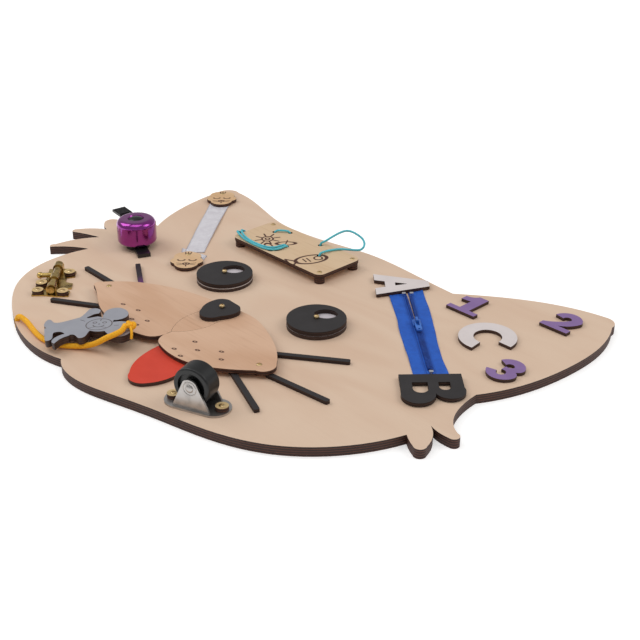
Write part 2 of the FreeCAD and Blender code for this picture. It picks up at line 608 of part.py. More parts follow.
def make_zip():
    def along(thing, out, across, level):
        x, y = spot(worth(out), worth(across), *ZIP_START, ZIP_TURN)
        return place(thing, x, y, level, turn=ZIP_TURN)
    shift = size("zip_gap") / 2
    tape_wide, long = size("zip_tape_wide"), size("zip_long")
    at, opening = size("slider_at"), size("zip_opening")
    tape = [(0, shift + opening), ("curve", (at / 2, shift + opening * 0.6), (at, shift), (at + 12, shift)),
            ("line", (long, shift), (long, shift + tape_wide)),
            ("curve", (long * 0.8, shift + tape_wide - 0.6), (long * 0.55, shift + tape_wide + 0.7),
             (long * 0.3, shift + tape_wide + 1.0), (0, shift + tape_wide + opening * 0.7)),
            ("line", (0, shift + opening))]

    def mirror(outline):
        turned = [(outline[0][0], -outline[0][1])]
        return turned + [(kind, *[(x, -y) for x, y in stops]) for kind, *stops in outline[1:]]
    left = along(plate("zip_tape_left", "zip_tape_thick", mirror(tape)), 0, 0, BOARD)
    right = along(plate("zip_tape_right", "zip_tape_thick", tape), 0, 0, BOARD)
    level = BOARD + " + zip_tape_thick"
    teeth = []
    pitch, tooth = size("coil_pitch"), size("tooth_long")
    first = size("zip_first")
    count = int((long - first - 12) / pitch)
    for number in range(count):
        out = first + number * pitch
        closed = out > at
        for side in (-1, 1):
            spread = 0 if closed else side * (shift + opening * (1 - out / at) * 0.9)
            middle = side * size("coil_wide") / 4 + spread
            step = pitch / 2 if side > 0 else 0
            teeth.append(block("tooth_%d_%s" % (number, "right" if side > 0 else "left"), tooth,
                               "coil_wide / 2 - 0.1", "coil_tall"))
            x, y = spot(out + step, middle, *ZIP_START, ZIP_TURN)
            shift_x, shift_y = spot(-tooth / 2, -(size("coil_wide") / 2 - 0.1) / 2, x, y, ZIP_TURN)
            place(teeth[-1], shift_x, shift_y, level, turn=ZIP_TURN)
    coil = group("zip_coil", teeth)
    roof = "coil_tall + slip"
    inner = "coil_wide + 2 * slip"
    top = block("slider_top", "slider_long", inner + " + 2 * slider_wall", "slider_wall", z=roof)
    bridge = block("slider_bridge", "slider_long * 0.7", "bridge_wide", "bridge_tall",
                   z="%s + slider_wall" % roof)
    eyelet = block("slider_eyelet", "slider_long * 0.35", "bridge_wide + 2", "bridge_tall - 1.2",
                   z="%s + slider_wall" % roof)
    slider = cut("zip_slider", fuse("slider_body", [top, bridge]), eyelet)
    along(slider, "slider_at", 0, level)
    slot_end, slot_half = 8.2, worth("bridge_wide / 2 + slip")
    half, tail = worth("pull_wide / 2"), worth("pull_long")
    flat = plate("pull_flat", "pull_thick",
                 [(0, -half), ("line", (tail, -half)), ("arc", (tail + half, 0), (tail, half)),
                  ("line", (0, half), (0, slot_half), (slot_end, slot_half), (slot_end, -slot_half), (0, -slot_half),
                   (0, -half))], [(tail, 0, "pull_hole")])
    bar = doc.addObject("Part::Cylinder", "pull_bar")
    bind(bar, Radius="pull_thick / 2", Height="pull_wide")
    bar.Placement = FreeCAD.Placement(point(0, half, size("pull_thick") / 2), FreeCAD.Rotation(point(1, 0), 90))
    pull = fuse("zip_pull", [flat, bar])
    along(pull, "slider_at", 0, level + " + %s + slider_wall + slip" % roof)
    stops = [block("stop_%d" % number, 3, 3.2, "coil_tall + 0.6") for number in range(3)]
    for stop, (out, across) in zip(stops, [(13, -3.4), (13, 3.4), (long - 8, 0)]):
        x, y = spot(out - 1.5, across - 1.6, *ZIP_START, ZIP_TURN)
        place(stop, x, y, level, turn=ZIP_TURN)
    return [left, right, coil, slider, pull, group("zip_stops", stops)]


# Bell: base, post, dome, cap and a sprung thumb lever with its striker

BELL_TURN = -23


def make_bell():
    x, y = "-bell_side", "bell_rise"
    drum = cylinder("bell_drum", "bell_base_across", "bell_base_tall")
    foot = block("bell_foot", "bell_foot_long", "bell_foot_wide", "bell_base_tall + 1.2",
                 x="bell_foot_long / 2")
    clear = cylinder("bell_foot_room", "bell_base_across + 2", "3", z="bell_base_tall")
    pin_hole = cylinder("lever_pin_seat", "lever_pin", "bell_base_tall", x="-lever_pin_out")
    post_seat = cylinder("post_seat", "bell_post", "bell_base_tall")
    base = cut("bell_base", fuse("bell_base_body", [drum, foot]), fuse("bell_base_room", [clear, pin_hole, post_seat]))
    place(base, x, y, BOARD, turn=BELL_TURN)
    pin_x, pin_y = spot(-size("lever_pin_out"), 0, -size("bell_side"), size("bell_rise"), BELL_TURN)
    pin = cylinder("bell_pin", "lever_pin", "bell_base_tall + lever_thick + slip", pin_x, pin_y, BOARD, on_face=True)
    crown = "bell_rim_lift + bell_tall - bell_dish_deep"
    post = place(cylinder("bell_post_rod", "bell_post", crown + " - bell_wall"), x, y, BOARD)
    outer, rim, tall = size("bell_across") / 2, size("bell_rim_lift"), size("bell_tall")
    wall, bend = size("bell_wall"), size("bell_shoulder")
    dish, deep = size("bell_dish") / 2, size("bell_dish_deep")
    top = rim + tall
    lip = 3.0

    def quarter(radius, level, bend_radius):
        """The middle and end of a shoulder that starts at a wall and ends flat on top."""
        reach = bend_radius * math.sqrt(0.5)
        return ((radius - bend_radius + reach, level - bend_radius + reach), (radius - bend_radius, level))
    dome = doc.addObject("PartDesign::Body", "bell_dome")
    profile = new_sketch(dome, "dome_profile", "XZ_Plane")
    draw(profile, (outer - lip, rim), ("arc", (outer - lip * 0.3, rim + lip * 0.3), (outer, rim + lip)),
         ("line", (outer, top - bend)), ("arc", *quarter(outer, top, bend)),
         ("line", (dish, top), (dish - deep * 0.6, top - deep), (0, top - deep), (0, top - deep - wall),
          (dish - deep * 0.6 - wall, top - deep - wall), (dish - wall * 0.4, top - wall),
          (outer - bend, top - wall)),
         ("arc", quarter(outer - wall, top - wall, bend - wall)[0], (outer - wall, top - bend)),
         ("line", (outer - wall, rim + lip)), ("arc", (outer - wall - lip * 0.25, rim + wall + 0.3),
                                                 (outer - lip, rim + wall * 0.7)),
         ("line", (outer - lip, rim)))
    turn = dome.newObject("PartDesign::Revolution", "dome_turn")
    turn.Profile = profile
    turn.ReferenceAxis = (profile, ["V_Axis"])
    turn.Angle = 360
    place(dome, x, y, BOARD)
    cap = place(cylinder("bell_cap", "bell_cap_across", "bell_dish_deep - 0.2"), x, y,
                "%s + %s" % (BOARD, crown))
    reach, thumb, broad = size("lever_reach"), size("thumb_long"), size("thumb_wide")
    hub = cylinder("lever_hub", "lever_pin + 5", "lever_thick")
    arm = block("lever_arm", reach, 6, "lever_thick", x=-reach / 2)
    rise = block("lever_rise", 2.6, 6, "thumb_lift", x=-(reach - thumb / 2 + 2))
    pad = block("thumb_pad", thumb, broad, 2.4, x=-reach, z="thumb_lift")
    swing = math.radians(43)
    end_x, end_y = size("striker_reach") * math.cos(swing), size("striker_reach") * math.sin(swing)
    striker_arm = doc.addObject("Part::Box", "striker_arm")
    bind(striker_arm, Length="striker_reach", Width=3, Height="lever_thick")
    striker_arm.Placement = FreeCAD.Placement(point(1.5 * math.sin(swing), -1.5 * math.cos(swing)),
                                              FreeCAD.Rotation(UP, math.degrees(swing)))
    stem = cylinder("striker_stem", "striker_stem", "lever_thick + 5", end_x, end_y)
    striker = cylinder("striker", "striker_across", 4, end_x, end_y, "lever_thick + 3")
    ridges = [block("thumb_ridge_%d" % number, 1.2, broad - 1, 3.1, x=-reach - thumb / 2 + 2.2 + number * 2.5,
                    z="thumb_lift") for number in range(6)]
    tip = block("lever_trim", reach, 10, 30, x=-(reach - thumb / 2 + 2) - 1.3 - reach / 2, z=-1)
    arm_short = cut("lever_arm_short", arm, tip)
    solid = fuse("lever_body", [hub, arm_short, rise, pad, striker_arm, stem, striker] + ridges)
    bore = cylinder("lever_bore", "lever_pin + 2 * lever_fit", "lever_thick + 1")
    lever = cut("bell_lever", solid, bore)
    place(lever, pin_x, pin_y, BOARD + " + bell_base_tall + slip", turn="lever_turn")
    return [base, group("bell_pins", [pin, post]), dome, cap, lever]


# Brass bolt: a plate with two guides, a keeper, and a rod with a knob

GUIDES = [("far", -30, 8), ("near", -5.5, 8)]
KEEPER = (12.5, 7)
ROD_START = -34


def guide(name, at, length):
    """A strap bent over the rod: a half tube on two upright legs."""
    inner = size("rod_across") / 2 + size("rod_slip")
    outer = inner + size("guide_wall")
    axis = size("rod_across") / 2 + 0.5
    body = doc.addObject("PartDesign::Body", name)
    sketch = new_sketch(body, name + "_profile", "YZ_Plane")
    draw(sketch, (-outer, 0), ("line", (-outer, axis)), ("arc", (0, axis + outer), (outer, axis)),
         ("line", (outer, 0), (inner, 0), (inner, axis)), ("arc", (0, axis + inner), (-inner, axis)),
         ("line", (-inner, 0), (-outer, 0)))
    pad = body.newObject("PartDesign::Pad", name + "_pad")
    pad.Profile = sketch
    pad.Midplane = True
    pad.Length = length
    return place(body, at, 0, "bolt_plate_thick", on_face=False)


def make_bolt():
    x, y = "-bolt_side", "-bolt_drop"
    clear = [(hx, hy, SHANK_HOLE) for hx, hy in BOLT_HOLES]
    main = plate("bolt_plate_flat", "bolt_plate_thick",
                 [(-34, -9), ("line", (-7, -9), (-7, -16), (5, -16), (5, -9), (7, -9), (7, 9), (7, 16), (-3, 16),
                              (-6, 9), (-15, 9), (-17, 16), (-28, 16), (-30, 9), (-34, 9), (-34, -9))], clear[:2])
    far, near = [guide("guide_" + name, at, length) for name, at, length in GUIDES]
    plate_whole = place(fuse("bolt_plate", [main, far, near]), x, y, BOARD, turn=BOLT_CENTRE[2])
    base = plate("keeper_flat", "bolt_plate_thick",
                 [(8.5, -17), ("line", (19, -17), (19, -7), (22, 5), (22, 15.5), (12, 15.5), (8.5, 7), (8.5, -17))],
                 clear[2:])
    strap = guide("keeper_strap", *KEEPER)
    keeper = place(fuse("bolt_keeper", [base, strap]), x, y, BOARD, turn=BOLT_CENTRE[2])
    rod_line = doc.addObject("Part::Cylinder", "rod_line")
    bind(rod_line, Radius="rod_across / 2", Height="rod_long")
    rod_line.Placement = FreeCAD.Placement(point(ROD_START, 0), FreeCAD.Rotation(point(0, 1), 90))
    knob = doc.addObject("Part::Cylinder", "knob_stem")
    bind(knob, Radius="knob_across / 2 - 0.8", Height="knob_long")
    knob.Placement = FreeCAD.Placement(point(-13.6, 0), FreeCAD.Rotation(point(1, 0), 90))
    ball = doc.addObject("Part::Sphere", "knob_ball")
    bind(ball, Radius="knob_across / 2")
    ball.Placement = FreeCAD.Placement(point(-13.6, -size("knob_long")), FreeCAD.Rotation())
    rod = place(fuse("bolt_rod", [rod_line, knob, ball]), x, y,
                BOARD + " + bolt_plate_thick + rod_across / 2 + 0.5", turn=BOLT_CENTRE[2])
    washers = [place(disc("bolt_washer_%d" % number, "washer_across", "washer_tall", [(0, 0, SHANK_HOLE)]),
                     wx, wy, BOARD + " + bolt_plate_thick")
               for number, (wx, wy) in enumerate(BOLT_SCREWS, start=1)]
    return [plate_whole, keeper, rod, group("bolt_washers", washers)]


# Caster: a folded bracket, a riveted axle and a free wheel, screwed down over plywood washers

def make_caster():
    x, y = "caster_side", "-caster_drop"
    half = size("caster_screw_gap") / 2
    outline = rounded_box(size("caster_plate_long"), size("caster_plate_wide"), size("caster_plate_wide") / 2 - 0.1)
    flat = plate("caster_flat", "caster_gauge", outline, [(-half, 0, SHANK_HOLE), (half, 0, SHANK_HOLE)])
    foot, bend, lift = size("ear_foot") / 2, size("ear_round"), size("axle_lift")
    gauge = size("caster_gauge")
    slope = math.atan2(lift, foot)
    touch = (bend * math.sin(slope), lift + bend * math.cos(slope))
    pieces = [flat]
    inner = size("wheel_wide") / 2 + 2 * size("slip")
    for side, start in (("front", -inner - gauge), ("back", inner)):
        body = doc.addObject("PartDesign::Body", "ear_" + side)
        sketch = new_sketch(body, "ear_profile_" + side, "XZ_Plane")
        draw(sketch, (-foot, 0), ("line", (-touch[0], touch[1])), ("arc", (0, lift + bend), touch),
             ("line", (foot, 0), (-foot, 0)))
        drill(sketch, 0, lift, "axle_across")
        sketch.AttachmentOffset = FreeCAD.Placement(point(0, 0, -start), FreeCAD.Rotation())
        pad = body.newObject("PartDesign::Pad", "ear_pad_" + side)
        pad.Profile = sketch
        pad.Reversed = True
        bind(pad, Length="caster_gauge")
        ring = doc.addObject("Part::Torus", "ear_ring_" + side)
        bind(ring, Radius1="ear_ring", Radius2="caster_gauge / 4")
        outer_face = start if start < 0 else start + gauge
        ring.Placement = FreeCAD.Placement(point(0, outer_face, lift), FreeCAD.Rotation(point(1, 0), 90))
        pieces += [body, ring]
    bracket = place(fuse("caster_bracket", pieces), x, y, BOARD, turn=CASTER_CENTRE[2])
    wheel = doc.addObject("PartDesign::Body", "caster_wheel")
    profile = new_sketch(wheel, "wheel_profile", "YZ_Plane")
    bore = size("axle_across") / 2 + size("axle_fit")
    half_wide, radius = size("wheel_wide") / 2, size("wheel_across") / 2
    rim, recess, soft = size("wheel_rim"), size("wheel_recess"), 1.6
    hub = bore + 2.4
    profile_points = [(half_wide, bore), (half_wide, hub), (half_wide - recess, hub),
                      (half_wide - recess, radius - rim), (half_wide, radius - rim), (half_wide, radius - soft)]
    back_points = [(-a, b) for a, b in reversed(profile_points)]
    draw(profile, (-half_wide, bore), ("line", *profile_points),
         ("arc", (half_wide - soft * 0.3, radius - soft * 0.3), (half_wide - soft, radius)),
         ("line", (soft - half_wide, radius)),
         ("arc", (soft * 0.3 - half_wide, radius - soft * 0.3), (-half_wide, radius - soft)),
         ("line", *back_points[1:]))
    spin = wheel.newObject("PartDesign::Revolution", "wheel_turn")
    spin.Profile = profile
    spin.ReferenceAxis = (profile, ["H_Axis"])
    spin.Angle = 360
    place(wheel, x, y, BOARD + " + axle_lift", turn=CASTER_CENTRE[2])
    reach = inner + gauge
    axle_rod = doc.addObject("Part::Cylinder", "axle_rod")
    bind(axle_rod, Radius="axle_across / 2")
    axle_rod.Height = 2 * reach
    axle_rod.Placement = FreeCAD.Placement(point(0, reach), FreeCAD.Rotation(point(1, 0), 90))
    heads = []
    for side, at in ((1, reach), (-1, -reach)):
        head = doc.addObject("Part::Ellipsoid", "rivet_%s" % ("back" if side > 0 else "front"))
        bind(head, Radius2="axle_across * 0.8", Radius3="axle_across * 0.8")
        head.Radius1 = 1.4
        head.Angle1 = 0
        head.Placement = FreeCAD.Placement(point(0, at), FreeCAD.Rotation(point(1, 0), -90 * side))
        heads.append(head)
    axle = place(fuse("caster_axle", [axle_rod] + heads), x, y, BOARD + " + axle_lift", turn=CASTER_CENTRE[2])
    washers = [place(disc("caster_washer_%d" % number, "washer_across", "washer_tall", [(0, 0, SHANK_HOLE)]),
                     wx, wy, BOARD + " + caster_gauge")
               for number, (wx, wy) in enumerate(CASTER_SCREWS, start=1)]
    return [bracket, wheel, axle, group("caster_washers", washers)]


# Mouse: a loose figure of two layers, tied by its ear to a yellow cord

MOUSE_OUTLINE = [
    (2.8, -14.7), ("line", (-1.8, 2), (-1, 4.2), (-2.6, 6.5)), ("curve", (-4.2, 13.3), (-2.6, 18.4), (1.3, 15.9)),
    ("curve", (6, 12.6), (11.4, 14.3), (17.2, 17.5), (23.1, 21)), ("curve", (25, 25.3), (26.6, 31), (27.7, 35.3)),
    ("arc", (32.9, 36.7), (38, 30.9)), ("line", (37.4, 27.4), (33.5, 26), (29.2, 20.8), (29.6, 19.2), (37.8, 22),
                                        (42.5, 19.6)),
    ("curve", (41.8, 25.8), (43.4, 32.8), (48.1, 36.4), (54.1, 36), (59.6, 31.6), (62.5, 25.1), (61.4, 19),
     (57.5, 15.8), (52.2, 14.8)), ("line", (52.6, 11.2)),
    ("curve", (56.4, 12.3), (62.8, 11.2), (68.2, 6.6), (71, -1.4), (69.4, -9), (64.1, -13.5), (57.5, -12.5),
     (51.1, -7.1)), ("line", (48.7, -3.6)), ("curve", (43.5, -4.3), (36.7, -2.4)),
    ("curve", (35.4, -8.2), (33.6, -13.4), (30.8, -14.6), (27.3, -10.9), (23.4, -8.2), (20.7, -10.5)),
    ("curve", (16.7, -13.7), (13.9, -18.7)), ("line", (12.5, -22.6), (9.7, -20.1)),
    ("curve", (9.5, -15.8), (11, -12), (17, -6.9)), ("curve", (11.6, -3), (7.7, -4.1)),
    ("curve", (8.2, -10.5), (8, -16), (6, -17.6), (2.8, -14.7)),
]
EAR_HOLE = (66.5, 1.5)


def tilt(thing, raised):
    """Lays a mouse layer at its place: turned, head end up, and raised along its own upright."""
    turned = FreeCAD.Rotation(UP, size("mouse_turn"))
    tipped = turned.multiply(FreeCAD.Rotation(point(0, 1), -size("mouse_tilt")))
    foot = point(-size("mouse_side"), -size("mouse_drop") - size("nose_drop"), worth(BOARD) + size("mouse_lift"))
    thing.Placement = FreeCAD.Placement(foot + tipped.multVec(point(0, 0, raised)), tipped)
    return thing


def make_mouse():
    layers = []
    for number, name in enumerate(["mouse_back", "mouse_front"]):
        layer = plate(name, "mouse_ply", MOUSE_OUTLINE, [(*EAR_HOLE, "tether_thick + 2 * slip")])
        layers.append(tilt(layer, number * size("mouse_ply")))
    return layers


# Cords: straight runs joined by tangent arcs

def tube(name, route, diameter):
    """A round tube along a route. Each arc is as large as its two runs allow."""
    corners = [point(x, y - size("nose_drop"), z) for x, y, z in route]
    edges, here, radii = [], corners[0], []
    for before, corner, after in zip(corners, corners[1:], corners[2:]):
        to_back, to_front = (before - corner), (after - corner)
        shorter = min(to_back.Length, to_front.Length)
        to_back.normalize()
        to_front.normalize()
        turn = math.pi - to_back.getAngle(to_front)
        cut_back = 0.45 * shorter
        radii.append(cut_back / math.tan(turn / 2))
        start, end = corner + to_back * cut_back, corner + to_front * cut_back
        inward = (to_back + to_front).normalize()
        middle = corner + inward * (radii[-1] / math.cos(turn / 2) - radii[-1])
        edges += [Part.LineSegment(here, start).toShape(), Part.Arc(start, middle, end).toShape()]
        here = end
    edges.append(Part.LineSegment(here, corners[-1]).toShape())
    path = Part.Wire(edges)
    first = (corners[1] - corners[0]).normalize()
    ring = Part.Wire([Part.Circle(corners[0], first, diameter / 2).toShape()])
    sweep = Part.BRepOffsetAPI.MakePipeShell(path)
    sweep.add(ring)
    sweep.build()
    sweep.makeSolid()
    solid = sweep.shape()
    volume = math.pi * diameter ** 2 / 4 * path.Length
    print("%s: length %.0f, least radius %.1f, volume ratio %.3f"
          % (name, path.Length, min(radii), solid.Volume / volume))
    piece = doc.addObject("Part::Feature", name)
    piece.Shape = solid
    return piece


# Yellow cord: out of a notch in the edge, under the mouse's feet, and up to its ear

TETHER_ROUTE = [(-120.5, -126, 1), (-120.5, -126, 9.2), (-116, -125.2, 13.2), (-106, -124.5, 11.4),
                (-92, -127.5, 10.4), (-77, -130.2, 10.4), (-63.5, -129.2, 10.4), (-52, -125, 10.4),
                (-45.25, -119.5, 10.8)]
TETHER_END = [(-45.25, -119.5, 10.8), (-38.5, -114, 11.2), (-31, -109, 14), (-24.5, -107, 18.3),
              (-19, -104.5, 22.8), (-15.5, -97.8, 25.1), (-16, -89.8, 25.5), (-20.5, -84.6, 26.2)]
KNOT = (-17.8, -81.6, 26.4)
KNOT_TAIL = [(-16, -83, 27), (-12, -84.5, 26), (-9.8, -86, 23), (-9.2, -87.2, 19.5)]

# Blue lacing cord: a doubled strand, a short stitch, and a loop

LACE_LOOP = [(-41, 148.5, 15), (-41, 148.5, 20), (-37.4, 151.2, 22), (-34.7, 157.7, 25.5), (-32.1, 165.6, 28.5),
             (-28.7, 171.3, 30), (-22.2, 172.8, 30), (-16.5, 173.7, 28.5), (-11.1, 174.3, 26.5), (-5.6, 171.7, 24.5),
             (-2.9, 168, 22.5), (-3.1, 164.4, 20.5), (-7.8, 162.6, 19.3), (-14.3, 158.7, 19), (-20.4, 154.2, 19),
             (-24.3, 146.2, 19), (-24.9, 139, 19.7), (-25, 132, 19.7), (-25, 132, 15)]
LACE_STITCH = [(-93.5, 138, 15), (-93.5, 138, 19.4), (-87.5, 142.8, 20), (-81.5, 147.5, 19.4), (-81.5, 147.5, 15)]
LACE_OUTER = [(-59.35, 124, 15), (-59.35, 124, 19.6), (-58.2, 117.5, 19.8), (-60, 110, 19), (-66.5, 104.8, 19),
              (-78, 103.4, 19), (-90, 103.6, 19), (-100, 104.4, 19.6), (-108, 106.4, 20.4), (-115.5, 109.4, 20.6),
              (-117.4, 114.5, 17.4), (-116, 119, 13), (-109.5, 121.5, 12.6)]
LACE_INNER = [(-61.65, 124, 15), (-61.65, 124, 19.6), (-62.2, 118, 19.8), (-64.6, 111.6, 19), (-70.5, 107.6, 19),
              (-80.5, 106, 19), (-91, 106.1, 19), (-100.5, 107.4, 19.6), (-108.5, 110.5, 20.2), (-115.4, 114.6, 20.2),
              (-117.2, 119.8, 17), (-115.6, 124.2, 13.1), (-109, 126.6, 12.6)]


def make_cords():
    thick, thin = size("tether_thick"), size("lace_thick")
    knot = doc.addObject("Part::Ellipsoid", "knot_ball")
    bind(knot, Radius1="tether_thick * 0.8", Radius2="tether_thick * 1.1", Radius3="tether_thick * 1.05")
    knot.Angle1 = -90
    place(knot, *KNOT)
    tail = tube("knot_tail", KNOT_TAIL, size("tail_thick"))
    return [tube("tether", TETHER_ROUTE, thick),
            cut("tether_end", tube("tether_end_run", TETHER_END, thick), knot), fuse("tether_knot", [knot, tail]),
            tube("lace_loop", LACE_LOOP, thin), tube("lace_stitch", LACE_STITCH, thin),
            tube("lace_outer", LACE_OUTER, thin), tube("lace_inner", LACE_INNER, thin)]


NODES = make_board() + make_eyes() + make_muzzle() + make_whiskers() + make_tongue() + make_glyphs()
NODES += make_lacing_plate() + make_badges() + make_ribbon() + make_zip() + make_bell() + make_bolt()
NODES += make_caster() + make_mouse() + make_cords() + [make_screws()]
doc.recompute()

# Every object has to be sound before anything is written

for thing in doc.Objects:
    if "Invalid" in thing.State or "Error" in thing.State:
        raise SystemExit("failed object: %s %s" % (thing.Name, thing.State))
for node in NODES:
    if node.Shape.isNull() or not node.Shape.isValid() or not node.Shape.Solids:
        raise SystemExit("bad shape: " + node.Label)
os.makedirs("parts", exist_ok=True)
for node in NODES:
    node.Shape.exportStep("parts/%s.step" % node.Label)
whole = Part.makeCompound([node.Shape for node in NODES]).BoundBox
print("%d nodes, box x %.2f %.2f y %.2f %.2f z %.2f %.2f"
      % (len(NODES), whole.XMin, whole.XMax, whole.YMin, whole.YMax, whole.ZMin, whole.ZMax))
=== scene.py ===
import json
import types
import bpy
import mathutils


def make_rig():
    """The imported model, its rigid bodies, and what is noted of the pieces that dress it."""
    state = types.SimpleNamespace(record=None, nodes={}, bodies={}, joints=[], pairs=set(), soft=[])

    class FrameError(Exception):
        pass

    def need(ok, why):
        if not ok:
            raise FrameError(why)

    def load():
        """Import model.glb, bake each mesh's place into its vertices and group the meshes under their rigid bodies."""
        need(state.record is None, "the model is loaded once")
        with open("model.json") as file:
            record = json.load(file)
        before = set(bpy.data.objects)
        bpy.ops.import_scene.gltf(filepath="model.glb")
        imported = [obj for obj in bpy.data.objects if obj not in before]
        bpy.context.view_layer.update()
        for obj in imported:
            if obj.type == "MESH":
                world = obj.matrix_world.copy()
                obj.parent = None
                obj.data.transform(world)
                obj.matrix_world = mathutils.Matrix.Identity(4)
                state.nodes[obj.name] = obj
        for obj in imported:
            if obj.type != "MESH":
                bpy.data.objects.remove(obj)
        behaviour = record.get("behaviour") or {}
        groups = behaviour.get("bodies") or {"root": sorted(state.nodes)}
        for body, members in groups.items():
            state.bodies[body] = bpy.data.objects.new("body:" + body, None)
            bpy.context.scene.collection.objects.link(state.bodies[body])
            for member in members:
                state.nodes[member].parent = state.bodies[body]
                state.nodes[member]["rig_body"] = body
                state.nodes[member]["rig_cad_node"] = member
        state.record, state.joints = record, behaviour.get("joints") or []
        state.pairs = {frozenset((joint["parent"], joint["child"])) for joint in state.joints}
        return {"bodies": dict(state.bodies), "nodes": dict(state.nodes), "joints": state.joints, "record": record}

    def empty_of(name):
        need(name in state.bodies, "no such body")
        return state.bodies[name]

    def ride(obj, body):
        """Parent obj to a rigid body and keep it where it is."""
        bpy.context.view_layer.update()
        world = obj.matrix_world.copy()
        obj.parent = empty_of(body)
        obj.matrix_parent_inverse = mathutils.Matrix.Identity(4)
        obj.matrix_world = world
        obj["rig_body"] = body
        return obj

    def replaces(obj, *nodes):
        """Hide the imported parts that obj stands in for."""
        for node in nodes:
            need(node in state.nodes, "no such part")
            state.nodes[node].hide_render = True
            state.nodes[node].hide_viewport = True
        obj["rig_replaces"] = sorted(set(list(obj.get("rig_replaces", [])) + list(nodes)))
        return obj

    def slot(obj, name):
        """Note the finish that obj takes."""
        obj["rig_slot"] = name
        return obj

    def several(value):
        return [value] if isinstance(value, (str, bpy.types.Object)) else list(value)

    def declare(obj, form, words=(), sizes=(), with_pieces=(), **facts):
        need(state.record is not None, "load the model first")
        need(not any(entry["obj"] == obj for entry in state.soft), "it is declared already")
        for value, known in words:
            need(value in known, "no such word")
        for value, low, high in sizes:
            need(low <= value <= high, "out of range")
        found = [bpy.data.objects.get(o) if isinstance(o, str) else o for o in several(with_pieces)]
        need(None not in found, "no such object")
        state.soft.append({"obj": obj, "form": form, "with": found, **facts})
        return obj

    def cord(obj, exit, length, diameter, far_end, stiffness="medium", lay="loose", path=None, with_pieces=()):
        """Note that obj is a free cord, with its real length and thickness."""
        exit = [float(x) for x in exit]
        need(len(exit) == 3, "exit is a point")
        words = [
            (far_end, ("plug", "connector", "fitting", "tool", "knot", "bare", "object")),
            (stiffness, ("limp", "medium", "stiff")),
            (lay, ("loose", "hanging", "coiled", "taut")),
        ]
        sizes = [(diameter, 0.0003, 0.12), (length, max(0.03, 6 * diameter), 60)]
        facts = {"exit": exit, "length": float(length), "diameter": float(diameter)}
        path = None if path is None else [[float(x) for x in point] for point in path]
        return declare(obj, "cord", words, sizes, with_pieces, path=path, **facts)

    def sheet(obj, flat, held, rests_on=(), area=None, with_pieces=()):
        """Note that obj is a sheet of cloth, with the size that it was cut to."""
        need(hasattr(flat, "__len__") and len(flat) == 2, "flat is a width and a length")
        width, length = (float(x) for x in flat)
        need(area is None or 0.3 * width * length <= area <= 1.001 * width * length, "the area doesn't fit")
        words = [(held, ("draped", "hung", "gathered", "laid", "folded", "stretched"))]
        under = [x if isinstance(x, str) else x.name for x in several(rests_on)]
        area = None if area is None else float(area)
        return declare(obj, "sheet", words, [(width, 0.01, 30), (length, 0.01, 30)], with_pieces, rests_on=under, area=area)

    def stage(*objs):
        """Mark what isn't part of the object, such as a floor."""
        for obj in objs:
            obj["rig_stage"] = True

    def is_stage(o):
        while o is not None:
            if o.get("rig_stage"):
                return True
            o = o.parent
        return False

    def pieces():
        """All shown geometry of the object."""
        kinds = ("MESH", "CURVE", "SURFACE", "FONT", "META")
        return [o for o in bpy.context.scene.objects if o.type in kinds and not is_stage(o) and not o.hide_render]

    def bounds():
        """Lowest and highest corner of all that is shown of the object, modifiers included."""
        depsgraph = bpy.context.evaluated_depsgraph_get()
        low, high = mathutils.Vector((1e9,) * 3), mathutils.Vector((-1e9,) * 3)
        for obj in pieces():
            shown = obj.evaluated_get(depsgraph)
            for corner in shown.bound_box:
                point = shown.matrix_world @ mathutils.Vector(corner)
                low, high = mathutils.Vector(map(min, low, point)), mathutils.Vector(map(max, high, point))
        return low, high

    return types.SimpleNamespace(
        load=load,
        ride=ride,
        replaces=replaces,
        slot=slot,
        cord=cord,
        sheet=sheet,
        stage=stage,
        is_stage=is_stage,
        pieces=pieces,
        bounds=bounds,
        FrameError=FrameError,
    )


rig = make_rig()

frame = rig.load()

import bpy
import json
import math
from mathutils import Vector

CAD_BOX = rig.bounds()
NODES = frame["nodes"]
MM = 0.001
NOSE_LINE = -46.2
BOARD_TOP = 8.0
TETHER_THICK = 4.6
KNOT_THICK = 3.3
TAIL_THICK = 2.2
LACE_THICK = 2.0
BADGE_TURN = 47


def on_face(x, y, z=BOARD_TOP):
    """A place on the board's face, measured in millimetres from the nose line."""
    return Vector((x * MM, (y + NOSE_LINE) * MM, z * MM))


# Camera: low in front of the right cheek

eye_point = on_face(673.9, -526.5, 457.9)
aim = Vector((-0.6431, 0.6070, -0.4669))
bpy.ops.object.camera_add(location=eye_point, rotation=aim.to_track_quat("-Z", "Y").to_euler())
camera = bpy.context.object
camera.name = "camera"
camera.data.lens = 64.70
camera.data.sensor_width = 36
bpy.context.scene.camera = camera


# Cords: routes over the board, in millimetres from the nose line

